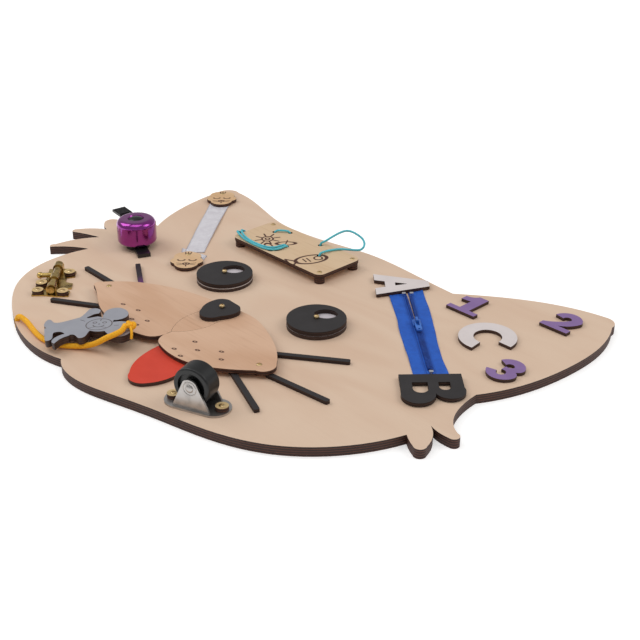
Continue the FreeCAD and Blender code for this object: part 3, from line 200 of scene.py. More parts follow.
KNOT = (-17.8, -81.6, 26.4)
TETHER = [(-120.5, -126, 1), (-120.5, -126, 9.2), (-116, -125.2, 13.2), (-106, -124.5, 11.4),
          (-92, -127.5, 10.4), (-77, -130.2, 10.4), (-63.5, -129.2, 10.4), (-52, -125, 10.4),
          (-45.25, -119.5, 10.8)]
TETHER_END = [(-45.25, -119.5, 10.8), (-38.5, -114, 11.2), (-31, -109, 14), (-24.5, -107, 18.3),
              (-19, -104.5, 22.8), (-15.5, -97.8, 25.1), (-16, -89.8, 25.5), (-20.5, -84.6, 26.2)]
KNOT_TAIL = [(-16, -83, 27), (-12, -84.5, 26), (-9.8, -86, 23), (-9.2, -87.2, 19.5)]
LACE_LOOP = [(-41, 148.5, 15), (-41, 148.5, 20), (-37.4, 151.2, 22), (-34.7, 157.7, 25.5),
             (-32.1, 165.6, 28.5), (-28.7, 171.3, 30), (-22.2, 172.8, 30), (-16.5, 173.7, 28.5),
             (-11.1, 174.3, 26.5), (-5.6, 171.7, 24.5), (-2.9, 168, 22.5), (-3.1, 164.4, 20.5),
             (-7.8, 162.6, 19.3), (-14.3, 158.7, 19), (-20.4, 154.2, 19), (-24.3, 146.2, 19),
             (-24.9, 139, 19.7), (-25, 132, 19.7), (-25, 132, 15)]
LACE_STITCH = [(-93.5, 138, 15), (-93.5, 138, 19.4), (-87.5, 142.8, 20), (-81.5, 147.5, 19.4),
               (-81.5, 147.5, 15)]
LACE_OUTER = [(-59.35, 124, 15), (-59.35, 124, 19.6), (-58.2, 117.5, 19.8), (-60, 110, 19),
              (-66.5, 104.8, 19), (-78, 103.4, 19), (-90, 103.6, 19), (-100, 104.4, 19.6),
              (-108, 106.4, 20.4), (-115.5, 109.4, 20.6), (-117.4, 114.5, 17.4), (-116, 119, 13),
              (-109.5, 121.5, 12.6)]
LACE_INNER = [(-61.65, 124, 15), (-61.65, 124, 19.6), (-62.2, 118, 19.8), (-64.6, 111.6, 19),
              (-70.5, 107.6, 19), (-80.5, 106, 19), (-91, 106.1, 19), (-100.5, 107.4, 19.6),
              (-108.5, 110.5, 20.2), (-115.4, 114.6, 20.2), (-117.2, 119.8, 17), (-115.6, 124.2, 13.1),
              (-109, 126.6, 12.6)]


def clear_selection():
    """Object mode with nothing selected, so that the next tool acts on its own piece."""
    if bpy.context.mode != "OBJECT":
        bpy.ops.object.mode_set(mode="OBJECT")
    bpy.ops.object.select_all(action="DESELECT")


def route_curve(name, route, thick):
    """A smooth curve that has the route's points as its control points."""
    line = bpy.data.curves.new(name, "CURVE")
    line.dimensions = "3D"
    spline = line.splines.new("NURBS")
    spline.points.add(len(route) - 1)
    for handle, spot in zip(spline.points, route):
        handle.co = (*on_face(*spot), 1)
    spline.order_u = 3
    spline.use_endpoint_u = True
    spline.resolution_u = 10
    line.bevel_depth = thick * MM / 2
    line.bevel_resolution = 5
    line.use_fill_caps = True
    piece = bpy.data.objects.new(name, line)
    bpy.context.collection.objects.link(piece)
    return piece


def centre_line(piece):
    """The points along a curve, without its thickness."""
    bevel = piece.data.bevel_depth
    piece.data.bevel_depth = 0
    bare = bpy.data.meshes.new_from_object(piece)
    piece.data.bevel_depth = bevel
    return [v.co.copy() for v in bare.vertices]


def measured(points):
    """Length of a line through the points."""
    return sum((b - a).length for a, b in zip(points, points[1:]))


def braid(name, route, thick, node, body, slot):
    """A cord laid along its route, made a mesh so that its braid follows it."""
    piece = route_curve(name, route, thick)
    path = centre_line(piece)
    clear_selection()
    piece.select_set(True)
    bpy.context.view_layer.objects.active = piece
    bpy.ops.object.convert(target="MESH")
    bpy.ops.object.shade_smooth()
    piece = bpy.context.object
    piece.name = name
    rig.ride(piece, body)
    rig.replaces(piece, node)
    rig.slot(piece, slot)
    return piece, path, measured(path)


# Shader arithmetic and materials

class Signal:
    """A shader value that takes plain arithmetic."""

    def __init__(self, finish, socket):
        self.finish = finish
        self.socket = socket

    def maths(self, operation, *values):
        return self.finish.node("ShaderNodeMath", dict(enumerate(values)), operation=operation)

    def __add__(self, other):
        return self.maths("ADD", self, other)

    def __sub__(self, other):
        return self.maths("SUBTRACT", self, other)

    def __rsub__(self, other):
        return self.maths("SUBTRACT", other, self)

    def __mul__(self, other):
        return self.maths("MULTIPLY", self, other)

    def __truediv__(self, other):
        return self.maths("DIVIDE", self, other)

    def __pow__(self, other):
        return self.maths("POWER", self, other)

    def __abs__(self):
        return self.maths("ABSOLUTE", self)

    __radd__ = __add__
    __rmul__ = __mul__

    def most(self, other):
        return self.maths("MAXIMUM", self, other)

    def wave(self, period):
        """A sine from 0 to 1 with the given period."""
        return self.maths("SINE", self * (2 * math.pi / period)) * 0.5 + 0.5

    def rise(self, low, high):
        """0 below low, 1 above high, smooth between."""
        return self.finish.node("ShaderNodeMapRange", {"Value": self, "From Min": low, "From Max": high},
                                interpolation_type="SMOOTHSTEP")


class Workshop:
    """A node tree and the one way in which its nodes are made."""

    def __init__(self, tree):
        self.tree = tree

    def node(self, kind, inputs=None, output=0, **settings):
        """Makes a node, sets it up and connects it."""
        made = self.tree.nodes.new(kind)
        for key, value in settings.items():
            setattr(made, key, value)
        for key, value in (inputs or {}).items():
            self.join(made.inputs[key], value)
        return Signal(self, made.outputs[output])

    def join(self, socket, value):
        """Feeds a socket with a signal, a colour code or a plain value."""
        if isinstance(value, Signal):
            self.tree.links.new(value.socket, socket)
        else:
            socket.default_value = tone(value) if isinstance(value, str) else value


class Finish(Workshop):
    """One material: a shader and the nodes that feed it."""

    def __init__(self, name, colour="#808080", roughness=0.5, metallic=0.0, coat=0.0):
        self.material = bpy.data.materials.new(name)
        self.material.use_nodes = True
        super().__init__(self.material.node_tree)
        self.shader = self.tree.nodes["Principled BSDF"]
        self.set("Base Color", colour)
        self.set("Roughness", roughness)
        self.set("Metallic", metallic)
        self.set("Coat Weight", coat)
        self.place = self.node("ShaderNodeTexCoord", output="Object")
        self.x, self.y, self.z = self.parts(self.place)

    def set(self, name, value):
        self.join(self.shader.inputs[name], value)

    def parts(self, vector):
        """X, Y and Z of a vector."""
        apart = self.node("ShaderNodeSeparateXYZ", {0: vector})
        return [Signal(self, output) for output in apart.socket.node.outputs]

    def facing_up(self):
        """1 on flat faces, 0 on the cut edges."""
        return abs(self.parts(self.node("ShaderNodeTexCoord", output="Normal"))[2]).rise(0.6, 0.8)

    def moved(self, turn=0, stretch=(1, 1, 1)):
        return self.node("ShaderNodeMapping", {"Vector": self.place, "Rotation": (0, 0, math.radians(turn)),
                                               "Scale": stretch})

    def noise(self, size, turn=0, stretch=(1, 1, 1), detail=3, distortion=0):
        """Cloudy noise whose lumps are about size millimetres."""
        return self.node("ShaderNodeTexNoise", {"Vector": self.moved(turn, stretch), "Scale": 1 / (size * MM),
                                                "Detail": detail, "Distortion": distortion})

    def mix(self, amount, first, second):
        """A colour between two others, the second where amount is 1."""
        return self.node("ShaderNodeMix", {0: amount, 6: first, 7: second}, 2, data_type="RGBA")

    def bump(self, height, depth, strength=1.0):
        """Raises the surface by depth millimetres where height is 1."""
        inputs = {"Height": height, "Distance": depth * MM, "Strength": strength}
        self.set("Normal", self.node("ShaderNodeBump", inputs))

    def spot(self, x, y, width, height, turn=0):
        """Distance from a place on the face, 1 on an ellipse of the given size."""
        angle = math.radians(turn)
        across, along = self.x - x * MM, self.y - (y + NOSE_LINE) * MM
        u = (across * math.cos(angle) + along * math.sin(angle)) / (width * MM / 2)
        v = (along * math.cos(angle) - across * math.sin(angle)) / (height * MM / 2)
        return (u * u + v * v) ** 0.5

    def stroke(self, x1, y1, x2, y2, width):
        """1 on a straight burnt line on the face, 0 off it."""
        span = math.hypot(x2 - x1, y2 - y1)
        ux, uy = (x2 - x1) / span, (y2 - y1) / span
        across, along = self.x - x1 * MM, self.y - (y1 + NOSE_LINE) * MM
        run = across * ux + along * uy
        off = along * ux - across * uy
        beyond = (abs(run - span * MM / 2) - span * MM / 2).most(0)
        away = (off * off + beyond * beyond) ** 0.5
        return 1 - away.rise(width * MM * 0.35, width * MM * 0.65)

    def ring(self, x, y, width, height, line, turn=0, low=None):
        """1 on the outline of an ellipse on the face; low keeps only the part below that height of it."""
        out = self.spot(x, y, width, height, turn)
        edge = line / min(width, height)
        mark = 1 - abs(out - 1).rise(edge * 0.7, edge * 1.3)
        if low is None:
            return mark
        angle = math.radians(turn)
        across, along = self.x - x * MM, self.y - (y + NOSE_LINE) * MM
        up = (along * math.cos(angle) - across * math.sin(angle)) / (height * MM / 2)
        return mark * (1 - up.rise(low, low + 0.2))

    def drawing(self, rings=(), strokes=(), dots=()):
        """All the burnt lines of a drawing together."""
        marks = [self.ring(*entry) for entry in rings] + [self.stroke(*entry) for entry in strokes]
        marks += [1 - self.spot(x, y, wide, wide).rise(0.8, 1.2) for x, y, wide in dots]
        total = marks[0]
        for mark in marks[1:]:
            total = total.most(mark)
        return total


def tone(code):
    """A colour from its screen code, as the shader takes it."""
    parts = [int(code[start:start + 2], 16) / 255 for start in (1, 3, 5)]
    return (*[part / 12.92 if part <= 0.04045 else ((part + 0.055) / 1.055) ** 2.4 for part in parts], 1)


PLY_STEP = 2.0


def burnt_edge(finish, face_colour, dark="#33180F", light="#7C4A34", rim=None):
    """Face colour on the flat faces, burnt layers on the edges, and a pale edge above the height rim."""
    edge_noise = finish.noise(3, stretch=(1, 1, 3))
    layer = (finish.z + edge_noise * 0.0004).wave(PLY_STEP * MM).rise(0.78, 0.97)
    smoke = finish.noise(7, detail=4)
    side = finish.mix(smoke.rise(0.35, 0.7), dark, "#260F09")
    side = finish.mix(layer * 0.75, side, light)
    if rim is not None:
        side = finish.mix(finish.z.rise(rim * MM, (rim + 0.25) * MM), side, "#E4DCDA")
    up = finish.facing_up()
    finish.set("Base Color", finish.mix(up, side, face_colour))
    return up, layer


def birch(name, pale, warm, dark, turn=0, burns=None, figure=0.5):
    """Bare birch plywood: soft long grain, flecks and burnt edges."""
    finish = Finish(name, roughness=0.62)
    grain = finish.noise(2.2, turn, (0.06, 1, 1), detail=6, distortion=0.3)
    cloud = finish.noise(70, turn, (0.35, 1, 1), detail=2, distortion=1.6)
    fleck = finish.noise(0.9, turn, (0.12, 1, 1), detail=4)
    wood = finish.mix(cloud.rise(0.3, 0.72), pale, warm)
    wood = finish.mix(grain.rise(0.48, 0.8) * figure, wood, dark)
    wood = finish.mix(fleck.rise(0.62, 0.8) * figure * 0.5, wood, dark)
    if burns is not None:
        wood = finish.mix(burns(finish), wood, "#4A2415")
    up, layer = burnt_edge(finish, wood)
    finish.bump(grain * 0.6 + fleck * 0.4 + layer * (1 - up), 0.12, 0.5)
    return finish.material


def painted(name, colour, shade, edge="#3A221A", roughness=0.55, edge_light="#5A3828", rim=None, tint=None,
            art=None):
    """Paint on plywood, slightly cloudy, with dark edges.

    Above the height rim the edge is pale. Tint places a painted purple reflection of the bell, and art the burnt
    lines.
    """
    finish = Finish(name, roughness=roughness)
    cloud = finish.noise(18, detail=4)
    grain = finish.noise(1.6, 20, (0.1, 1, 1), detail=5)
    coat = finish.mix(cloud.rise(0.3, 0.75) * 0.6, colour, shade)
    coat = finish.mix(grain.rise(0.55, 0.8) * 0.25, coat, shade)
    # Painted reflection: the bell's purple mixed into the coat where the tint mask is 1.
    if tint is not None:
        coat = finish.mix(tint(finish) * 0.8, coat, "#6A2A6E")
    if art is not None:
        coat = finish.mix(art(finish) * 0.85, coat, "#4A3B38")
    up, layer = burnt_edge(finish, coat, edge, edge_light, rim)
    finish.set("Roughness", roughness + (cloud - 0.5) * 0.2)
    finish.bump(grain * up + layer * (1 - up), 0.08, 0.5)
    return finish.material


def metal(name, colour, shade, roughness, coat=0.0, wear=0.25):
    """Bare or plated metal with faint brushing and darker patches."""
    finish = Finish(name, roughness=roughness, metallic=1.0, coat=coat)
    brush = finish.noise(0.8, detail=4)
    patch = finish.noise(6, detail=4)
    finish.set("Base Color", finish.mix(patch.rise(0.4, 0.75) * wear * 2, colour, shade))
    finish.set("Roughness", roughness + (brush - 0.5) * 0.18 + (patch - 0.5) * 0.12)
    finish.bump(brush, 0.03, 0.35)
    return finish.material


def plastic(name, colour, shade, roughness, depth=0.05):
    """Moulded plastic or rubber with a fine grained skin."""
    finish = Finish(name, roughness=roughness)
    skin = finish.noise(0.35, detail=2)
    patch = finish.noise(9, detail=3)
    finish.set("Base Color", finish.mix(patch.rise(0.35, 0.7), colour, shade))
    finish.set("Roughness", roughness + (patch - 0.5) * 0.15)
    finish.bump(skin, depth, 0.4)
    return finish.material


def dress(material, *names):
    """Puts one material on each of the named solids."""
    for name in names:
        slots = NODES[name].data.materials
        slots.clear()
        slots.append(material)


# Places in a turned drawing

def turned(x, y, centre_x, centre_y, turn):
    """Where a place in a drawing lands once the drawing is turned and set down."""
    angle = math.radians(turn)
    return (centre_x + x * math.cos(angle) - y * math.sin(angle),
            centre_y + x * math.sin(angle) + y * math.cos(angle))


def turned_strokes(strokes, x, y, turn):
    return [(*turned(x1, y1, x, y, turn), *turned(x2, y2, x, y, turn), wide)
            for x1, y1, x2, y2, wide in strokes]


# Bare plywood: the board, the muzzle, the plates and the washers

LEFT_MARKS = [(-71.3, -52.3), (-53.3, -49.6), (-44, -62.5), (-32.7, -55.2), (-33.1, -65.5)]
RIGHT_MARKS = [(22.5, -48.6), (20.3, -67.5), (34.8, -55.6), (32.8, -70.8), (49.6, -43.4), (59.1, -51.3)]


def small_marks(marks):
    """Little burnt rings at the given places."""
    def draw(finish):
        return finish.drawing([(x, y, 3.2, 1.9, 0.9, 20) for x, y in marks])
    return draw


def plate_art(finish):
    """A sun over two leaves at the left, and a fish at the right, as burnt lines."""
    sun_x, sun_y = -86, 122.5
    rays = []
    for number in range(8):
        rays += turned_strokes([(6.5, 0, 12, 0, 1.6)], sun_x, sun_y, 20 + 45 * number)
    rings = [(sun_x, sun_y, 10.5, 10.5, 1.7), (sun_x, sun_y, 4.2, 4.2, 1.6), (-66, 128, 7.5, 18, 1.5, -40),
             (-71, 111, 7.5, 17, 1.5, 62), (-62, 117, 6, 13, 1.3, 10), (-24, 121, 30, 17, 2.0, 68),
             (-21.5, 127.5, 7.5, 7.5, 1.6, 0)]
    body = [(0, -13.5, -8.5, -22, 2.0), (0, -13.5, 8, -21.5, 2.0), (-8.5, -22, 8, -21.5, 1.9),
            (-3.5, -3, 4, -2, 1.4), (-3, -7, 3.5, -6, 1.4)]
    veins = [(-70.5, 134, -61.5, 122, 1.2), (-78, 108.5, -64, 113.5, 1.2)]
    return finish.drawing(rings, rays + turned_strokes(body, -24, 121, -22) + veins, [(-17.6, 128.6, 2.4)])


def badge_art(x, y):
    """Closed eyes, a nose with whiskers and stripes on the brow."""
    def at(out, up):
        return turned(out, up, x, y, BADGE_TURN)

    def draw(finish):
        eyes = [(*at(side * 5.2, -11.5), 6.4, 5, 1.3, BADGE_TURN, 0.1) for side in (-1, 1)]
        nose = [(*at(0, -20.5), 5.8, 4, 1.3, BADGE_TURN)]
        stripes = [(-2.8, 4.8, -2.1, 0.8, 1.1), (0, 5.4, 0, 1.0, 1.1), (2.8, 4.8, 2.1, 0.8, 1.1)]
        chin = [(0, -22.3, 0, -25.7, 1.1)]
        whiskers = [(-4.4, -20, -8.8, -18.8, 0.9), (4.4, -20, 8.8, -18.8, 0.9),
                    (-4.2, -22, -8.2, -23, 0.9), (4.2, -22, 8.2, -23, 0.9)]
        lines = turned_strokes(stripes + chin + whiskers, x, y, BADGE_TURN)
        return finish.drawing(eyes + nose, lines, [(*at(0, -19.8), 2.4)])
    return draw


def mouse_art(finish):
    """An oval with a small face, and a few short marks beside it."""
    x, y, turn = -44.9, -93.5, 44
    rings = [(x, y, 21, 19, 0.8, turn), (*turned(-4, 3, x, y, turn), 3, 2.6, 0.7, turn),
             (*turned(4, 3, x, y, turn), 3, 2.6, 0.7, turn),
             (*turned(0, -1, x, y, turn), 9, 7, 0.8, turn, -0.2)]
    lines = [(-7, -6, -3, -4.4, 0.6), (7, -6, 3, -4.4, 0.6), (0, 6, 0, 9, 0.6), (13, 5.5, 16, 7.5, 0.7),
             (13, -2.5, 16.5, -2.5, 0.7), (-13, 6, -17, 8.5, 0.7)]
    return finish.drawing(rings, turned_strokes(lines, x, y, turn), [(*turned(0, 0.4, x, y, turn), 1.6)])


BOARD_TONES = ("#E4C8AF", "#DDBDA3", "#CDAA90")
PLY_TONES = ("#DDB698", "#D1A686", "#B5896B")
dress(birch("board_birch", *BOARD_TONES, 8, figure=0.1), "board_back", "board_front")
dress(birch("cheek_birch_left", *PLY_TONES, 25, small_marks(LEFT_MARKS), figure=0.25), "muzzle_left")
dress(birch("cheek_birch_right", *PLY_TONES, -30, small_marks(RIGHT_MARKS), figure=0.25), "muzzle_right")
dress(birch("pad_birch", *PLY_TONES, 25, figure=0.4), "muzzle_middle", "muzzle_spacers", "lacing_standoffs")
dress(birch("washer_birch", "#DCC08A", "#CFB07A", "#9C7A4B", 25), "bolt_washers", "caster_washers")
dress(birch("plate_birch", "#DFC2A0", "#D5B48E", "#B48E68", 8, plate_art, figure=0.3), "lacing_plate")
for name, x, y in (("badge_upper", -217, 174), ("badge_lower", -120, 54)):
    dress(birch(name + "_birch", "#E2BF97", "#D8B084", "#B48A5E", 40, badge_art(x, y), figure=0.3), name)

# Painted plywood

BLACK = ("#2B2728", "#242021", "#1F0F0A")
charcoal = painted("charcoal_paint", *BLACK, 0.68, "#4A3026")
dress(charcoal, "eye_left_top", "eye_right_top", "nose", "letter_b",
      "whisker_left_middle", "whisker_left_lower",
      "whisker_right_upper", "whisker_right_middle", "whisker_right_lower")
# The upper left whisker: glossy black paint with a painted purple reflection of the bell, strongest towards its root.
glossy_with_bell_reflection = painted("whisker_paint_with_bell_reflection", *BLACK, 0.45, "#4A3026", tint=lambda finish: (finish.x / MM).rise(-118, -100))
dress(glossy_with_bell_reflection, "whisker_left_upper")
dress(painted("pupil_paint", "#D4CDD1", "#C6BEC3", "#33201A", 0.5, "#4A3026"), "eye_right_base")
dress(painted("pupil_paint_left", "#D4CDD1", "#C6BEC3", "#33201A", 0.5, "#4A3026", rim=11.05), "eye_left_base")
dress(painted("white_paint", "#E2D8D6", "#D6CCCA"), "letter_a", "letter_c")
dress(painted("red_paint", "#DC4028", "#CF3822"), "tongue")
dress(painted("purple_paint", "#8D6FA4", "#7F6196"), "number_1", "number_2", "number_3")
dress(painted("grey_paint", "#9FA0A8", "#93949D", "#3A2821", art=mouse_art), "mouse_front")
dress(painted("grey_paint_back", "#9FA0A8", "#93949D", "#3A2821"), "mouse_back")

# Metal, plastic and rubber

dress(metal("polished_brass", "#CDAF6B", "#7E6330", 0.24, wear=0.5), "bolt_plate", "bolt_keeper", "bolt_rod")
dress(metal("zinc_plate", "#BDB9B6", "#8F8B88", 0.36),
      "caster_bracket", "caster_axle", "tongue_pin", "bell_pins")
dress(metal("screw_metal", "#D9BF90", "#8A6C42", 0.3), "screws")
dress(metal("stop_metal", "#E4E4E8", "#B9B9C0", 0.25), "zip_stops")
dress(metal("bell_purple", "#93308F", "#74217A", 0.17, coat=0.6, wear=0.1), "bell_dome")
dress(plastic("black_plastic", "#1E1C1F", "#161517", 0.32), "bell_base", "bell_lever")
dress(plastic("wheel_black", "#0E0F11", "#090A0B", 0.36), "caster_wheel")
dress(plastic("zip_blue", "#15479F", "#113A8A", 0.75), "zip_coil")
dress(plastic("slider_blue", "#3E78D2", "#2F66BE", 0.28), "zip_slider", "zip_pull")


# Soft pieces: the ribbon and the zip's tapes

def between(stops, at):
    """A smooth curve through a few (place, value) pairs."""
    for (low, first), (high, second) in zip(stops, stops[1:]):
        if at <= high:
            share = max(0.0, (at - low) / (high - low))
            return first + (second - first) * (3 * share ** 2 - 2 * share ** 3)
    return stops[-1][1]


def strip(name, node, slot, across, along, lay, thick=0.3):
    """A thin woven sheet: a grid whose two directions, each from 0 to 1, are laid out by a function."""
    clear_selection()
    bpy.ops.mesh.primitive_grid_add(x_subdivisions=across, y_subdivisions=along, size=1, location=(0, 0, 0))
    piece = bpy.context.object
    piece.name = name
    for corner in piece.data.vertices:
        corner.co = lay(corner.co.x + 0.5, corner.co.y + 0.5)
    cloth = piece.modifiers.new("cloth", "SOLIDIFY")
    cloth.thickness = thick * MM
    cloth.offset = 0
    bpy.ops.object.modifier_apply(modifier="cloth")
    bpy.ops.object.shade_smooth()
    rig.ride(piece, "board")
    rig.replaces(piece, node)
    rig.slot(piece, slot)
    return piece


def cloth_finish(name, colour, shade, dark, roughness, threads, bands=()):
    """A fine weave along the sheet's own map, with darker bands across its width."""
    finish = Finish(name, roughness=roughness)
    across, along, _ = finish.parts(finish.node("ShaderNodeTexCoord", output="UV"))
    weft = (along * threads[1]).wave(1.0)
    warp = (across * threads[0]).wave(1.0)
    cloud = finish.noise(6, detail=4)
    tint = finish.mix(cloud.rise(0.3, 0.7), colour, shade)
    tint = finish.mix(weft * warp * 0.35, tint, shade)
    # A band can be painted shade: on the zip's tapes, the band along the inner edge is.
    for low, high, strength in bands:
        band = across.rise(low, low + 0.05) * (1 - across.rise(high, high + 0.05))
        tint = finish.mix(band * strength, tint, dark)
    finish.set("Base Color", tint)
    finish.bump(weft * 0.5 + warp * 0.5, 0.12, 0.6)
    return finish.material


ZIP_START = (64, 153)
ZIP_TURN = -39.5
ZIP_LONG = 156
OUTER = {-1: [(0, 16.4), (14, 16.1), (57, 14.8), (75, 15.6), (102, 15.0), (125, 14.2), (156, 14)],
         1: [(0, 14.6), (14, 14.4), (38, 15.0), (56, 14.5), (75, 14.0), (104, 12.4), (122, 12.4),
             (150, 13.4), (156, 13.4)]}
OPEN_EDGE = [(0, 0.8), (35, 0.6), (69, 0.3), (170, 0.3)]


def tape(side):
    """How one of the two tapes lies, its outer edge a little wavy and raised."""
    def lay(across, along):
        out = along * ZIP_LONG
        inner = between(OPEN_EDGE, out)
        off = inner + (between(OUTER[side], out) - inner) * across
        lift = 0.35 + 0.35 * across ** 2 * (1 + math.sin(out * 0.13 + side))
        x, y = turned(out, side * off, *ZIP_START, ZIP_TURN)
        return on_face(x, y, BOARD_TOP + lift)
    return lay


for side, word in ((-1, "left"), (1, "right")):
    ribbon_tape = strip("tape_" + word, "zip_tape_" + word, "zip_tape", 12, 80, tape(side))
    # The first band, dark along each tape's inner edge, is painted shade in the opening between the coil halves.
    bands = [(-0.1, 0.07, 0.95), (0.17, 0.23, 0.7), (0.26, 0.31, 0.35)]
    ribbon_tape.data.materials.append(cloth_finish("tape_weave_" + word, "#1C60C8", "#1856B8", "#0E3C90", 0.7,
                                                   (14, 170), bands))
    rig.sheet(ribbon_tape, flat=(0.0136, 0.156), held="laid", rests_on=["board_front"])

RIBBON = [(-204, 160), (-126, 66)]
RIBBON_LONG = math.dist(*RIBBON)
RIBBON_TURN = math.degrees(math.atan2(RIBBON[1][1] - RIBBON[0][1], RIBBON[1][0] - RIBBON[0][0]))


def ribbon_lay(across, along):
    """Narrow and nearly flat, with its lower end drawn up to one side."""
    out = along * RIBBON_LONG
    half = between([(0, 10.2), (40, 9.6), (105, 9.2), (RIBBON_LONG, 9.4)], out)
    curl = 0.4 * math.sin(out * 0.11) * (2 * across - 1)
    lift = 0.45 + 1.0 * math.sin(math.pi * along) ** 2 + abs(curl) * 0.5
    x, y = turned(out, (2 * across - 1) * half, *RIBBON[0], RIBBON_TURN)
    return on_face(x, y, BOARD_TOP + lift)


def ribbon_end(across, along):
    """The cut end, folded back under the lower badge and spread out."""
    (left, right), (low_left, low_right) = ((-141.7, 63.5), (-111.5, 69.5)), ((-134, 56.5), (-106, 61))
    start = [a + (b - a) * across for a, b in zip(left, right)]
    end = [a + (b - a) * across for a, b in zip(low_left, low_right)]
    x, y = [a + (b - a) * along for a, b in zip(start, end)]
    return on_face(x, y, BOARD_TOP + 0.25 + 0.12 * math.sin(across * 7) ** 2)


satin = cloth_finish("satin_weave", "#E6E3E8", "#DAD6DC", "#BDB6C0", 0.4, (60, 260),
                     [(-0.1, 0.02, 0.5), (0.93, 1.1, 0.5)])
ribbon = strip("satin_ribbon", "ribbon", "white_ribbon", 10, 60, ribbon_lay, 0.2)
ribbon.data.materials.append(satin)
fold = strip("ribbon_end", "ribbon", "white_ribbon", 14, 6, ribbon_end, 0.15)
fold.data.materials.append(satin)
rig.sheet(ribbon, flat=(0.0178, RIBBON_LONG * MM), held="laid", rests_on=["board_front"])
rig.sheet(fold, flat=(0.030, 0.0105), held="folded", rests_on=["board_front"])

# Bell cap: a low shining dome in the dished top

CAP_PLACE = (-175, 36, 35.0)
CAP_RADIUS = 7.2
CAP_HEIGHT = 3.0

clear_selection()
bpy.ops.mesh.primitive_uv_sphere_add(segments=48, ring_count=24, radius=1, location=(0, 0, 0))
cap = bpy.context.object
cap.name = "cap_dome"
for corner in cap.data.vertices:
    rise = max(corner.co.z, -0.2)
    x, y, z = CAP_PLACE
    corner.co = on_face(x + corner.co.x * CAP_RADIUS, y + corner.co.y * CAP_RADIUS, z + rise * CAP_HEIGHT)
bpy.ops.object.shade_smooth()
cap.data.materials.append(plastic("cap_gloss", "#0C0B0D", "#080709", 0.3, depth=0.01))
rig.ride(cap, "board")
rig.replaces(cap, "bell_cap")
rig.slot(cap, "black_plastic")


# Cords and their braid

def cord_finish(name, colour, shade, strands, depth, length):
    """A braid that follows the cord: crossing strands along its own map."""
    finish = Finish(name, roughness=0.75)
    along, around, _ = finish.parts(finish.node("ShaderNodeTexCoord", output="UV"))
    turns = length / (strands * MM)
    first = (along * turns + around * 3.0).wave(1.0)
    second = (along * turns - around * 3.0).wave(1.0)
    weave = first.most(second)
    fibre = finish.noise(0.4, detail=4)
    finish.set("Base Color", finish.mix(weave.rise(0.3, 0.9) * 0.6 + 0.3 + fibre * 0.2, shade, colour))
    finish.bump(weave + fibre * 0.3, depth, 0.8)
    return finish.material


def knot_route():
    """A trefoil, flattened a little where it rests on the mouse's ear."""
    places = []
    for number in range(37):
        t = math.radians(10 * number)
        places.append((KNOT[0] + 1.25 * (math.sin(t) + 2 * math.sin(2 * t)),
                       KNOT[1] + 1.25 * (math.cos(t) - 2 * math.cos(2 * t)), KNOT[2] - 1.2 * math.sin(3 * t)))
    return places


CYAN = ("#62CBD8", "#3FA9BA")
YELLOW = ("#FFBA1C", "#F2A40E")
knot_pieces = []
for name, route, thick in (("knot_loops", knot_route(), KNOT_THICK), ("knot_tail", KNOT_TAIL, TAIL_THICK)):
    loops, path, long = braid(name, route, thick, "tether_knot", "mouse", "yellow_cord")
    loops.data.materials.clear()
    loops.data.materials.append(cord_finish(name + "_braid", *YELLOW, thick * 0.5, thick * 0.03, long))
    knot_pieces.append(loops)

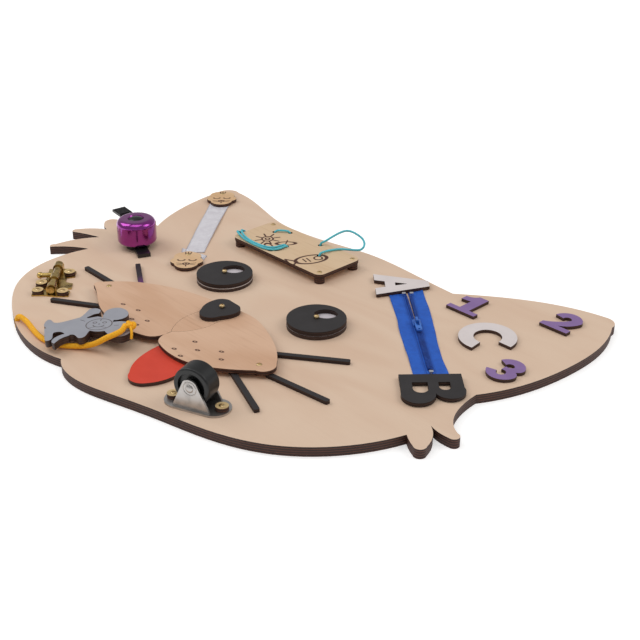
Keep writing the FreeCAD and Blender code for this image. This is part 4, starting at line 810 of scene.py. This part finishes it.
for name, route, thick, body, node, far_end, colours in (
        ("tether_cord", TETHER, TETHER_THICK, "board", "tether", "object", YELLOW),
        ("tether_end_cord", TETHER_END, TETHER_THICK, "mouse", "tether_end", "knot", YELLOW),
        ("lace_loop_cord", LACE_LOOP, LACE_THICK, "board", "lace_loop", "object", CYAN),
        ("lace_stitch_cord", LACE_STITCH, LACE_THICK, "board", "lace_stitch", None, CYAN),
        ("lace_outer_cord", LACE_OUTER, LACE_THICK, "board", "lace_outer", "object", CYAN),
        ("lace_inner_cord", LACE_INNER, LACE_THICK, "board", "lace_inner", "object", CYAN)):
    slot = "yellow_cord" if colours is YELLOW else "blue_cord"
    cord, path, long = braid(name, route, thick, node, body, slot)
    cord.data.materials.clear()
    cord.data.materials.append(cord_finish(name + "_braid", *colours, thick * 0.5, thick * 0.04, long))
    if far_end:
        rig.cord(cord, exit=path[0], length=long, diameter=thick * MM, far_end=far_end, stiffness="limp",
                lay="loose", path=path, with_pieces=knot_pieces if far_end == "knot" else [])

# Floor, light and background

ROOM = 0.42
NEAR_GLOW = 0.42
bpy.ops.mesh.primitive_plane_add(size=8, location=(0, 0, 0))
floor = bpy.context.object
floor.name = "floor"
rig.stage(floor)
paper = Finish("floor_paper", "#F2F1F0", roughness=0.9)
seen = paper.node("ShaderNodeLightPath", output="Is Camera Ray")
mirrored = paper.node("ShaderNodeLightPath", output="Is Glossy Ray")
far_off = ((paper.x * paper.x + paper.y * paper.y) ** 0.5).rise(0.45, 1.3)
glow = seen.most(mirrored) * (far_off * (1 - NEAR_GLOW) + NEAR_GLOW)
paper.set("Emission Color", paper.mix(glow, "#000000", "#FFFFFF"))
paper.set("Emission Strength", 1.0)
floor.data.materials.append(paper.material)

world = bpy.data.worlds.new("studio")
bpy.context.scene.world = world
world.use_nodes = True
sky = Workshop(world.node_tree)
seen = sky.node("ShaderNodeLightPath", output="Is Camera Ray")
backdrop = world.node_tree.nodes["Background"]
sky.join(backdrop.inputs["Color"], "#FFFFFF")
strength = sky.node("ShaderNodeMapRange", {"Value": seen, "To Min": ROOM, "To Max": 1.0})
sky.join(backdrop.inputs["Strength"], strength)

for name, spot, size, power in (("left_softbox", (-0.9, -0.5, 1.1), 0.9, 5.7),
                                ("right_softbox", (0.9, 0.9, 1.2), 0.9, 5.7),
                                ("top_softbox", (0.1, -0.2, 1.5), 1.0, 4.4)):
    bpy.ops.object.light_add(type="AREA", location=spot)
    lamp = bpy.context.object
    lamp.name = name
    lamp.data.size = size
    lamp.data.energy = power
    lamp.rotation_euler = (Vector((0, 0, 0)) - Vector(spot)).to_track_quat("-Z", "Y").to_euler()

bpy.context.scene.view_settings.view_transform = "Standard"

with open("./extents.json", "w") as report:
    json.dump({"cad": [list(corner) for corner in CAD_BOX], "visual": [list(corner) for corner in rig.bounds()]},
              report)
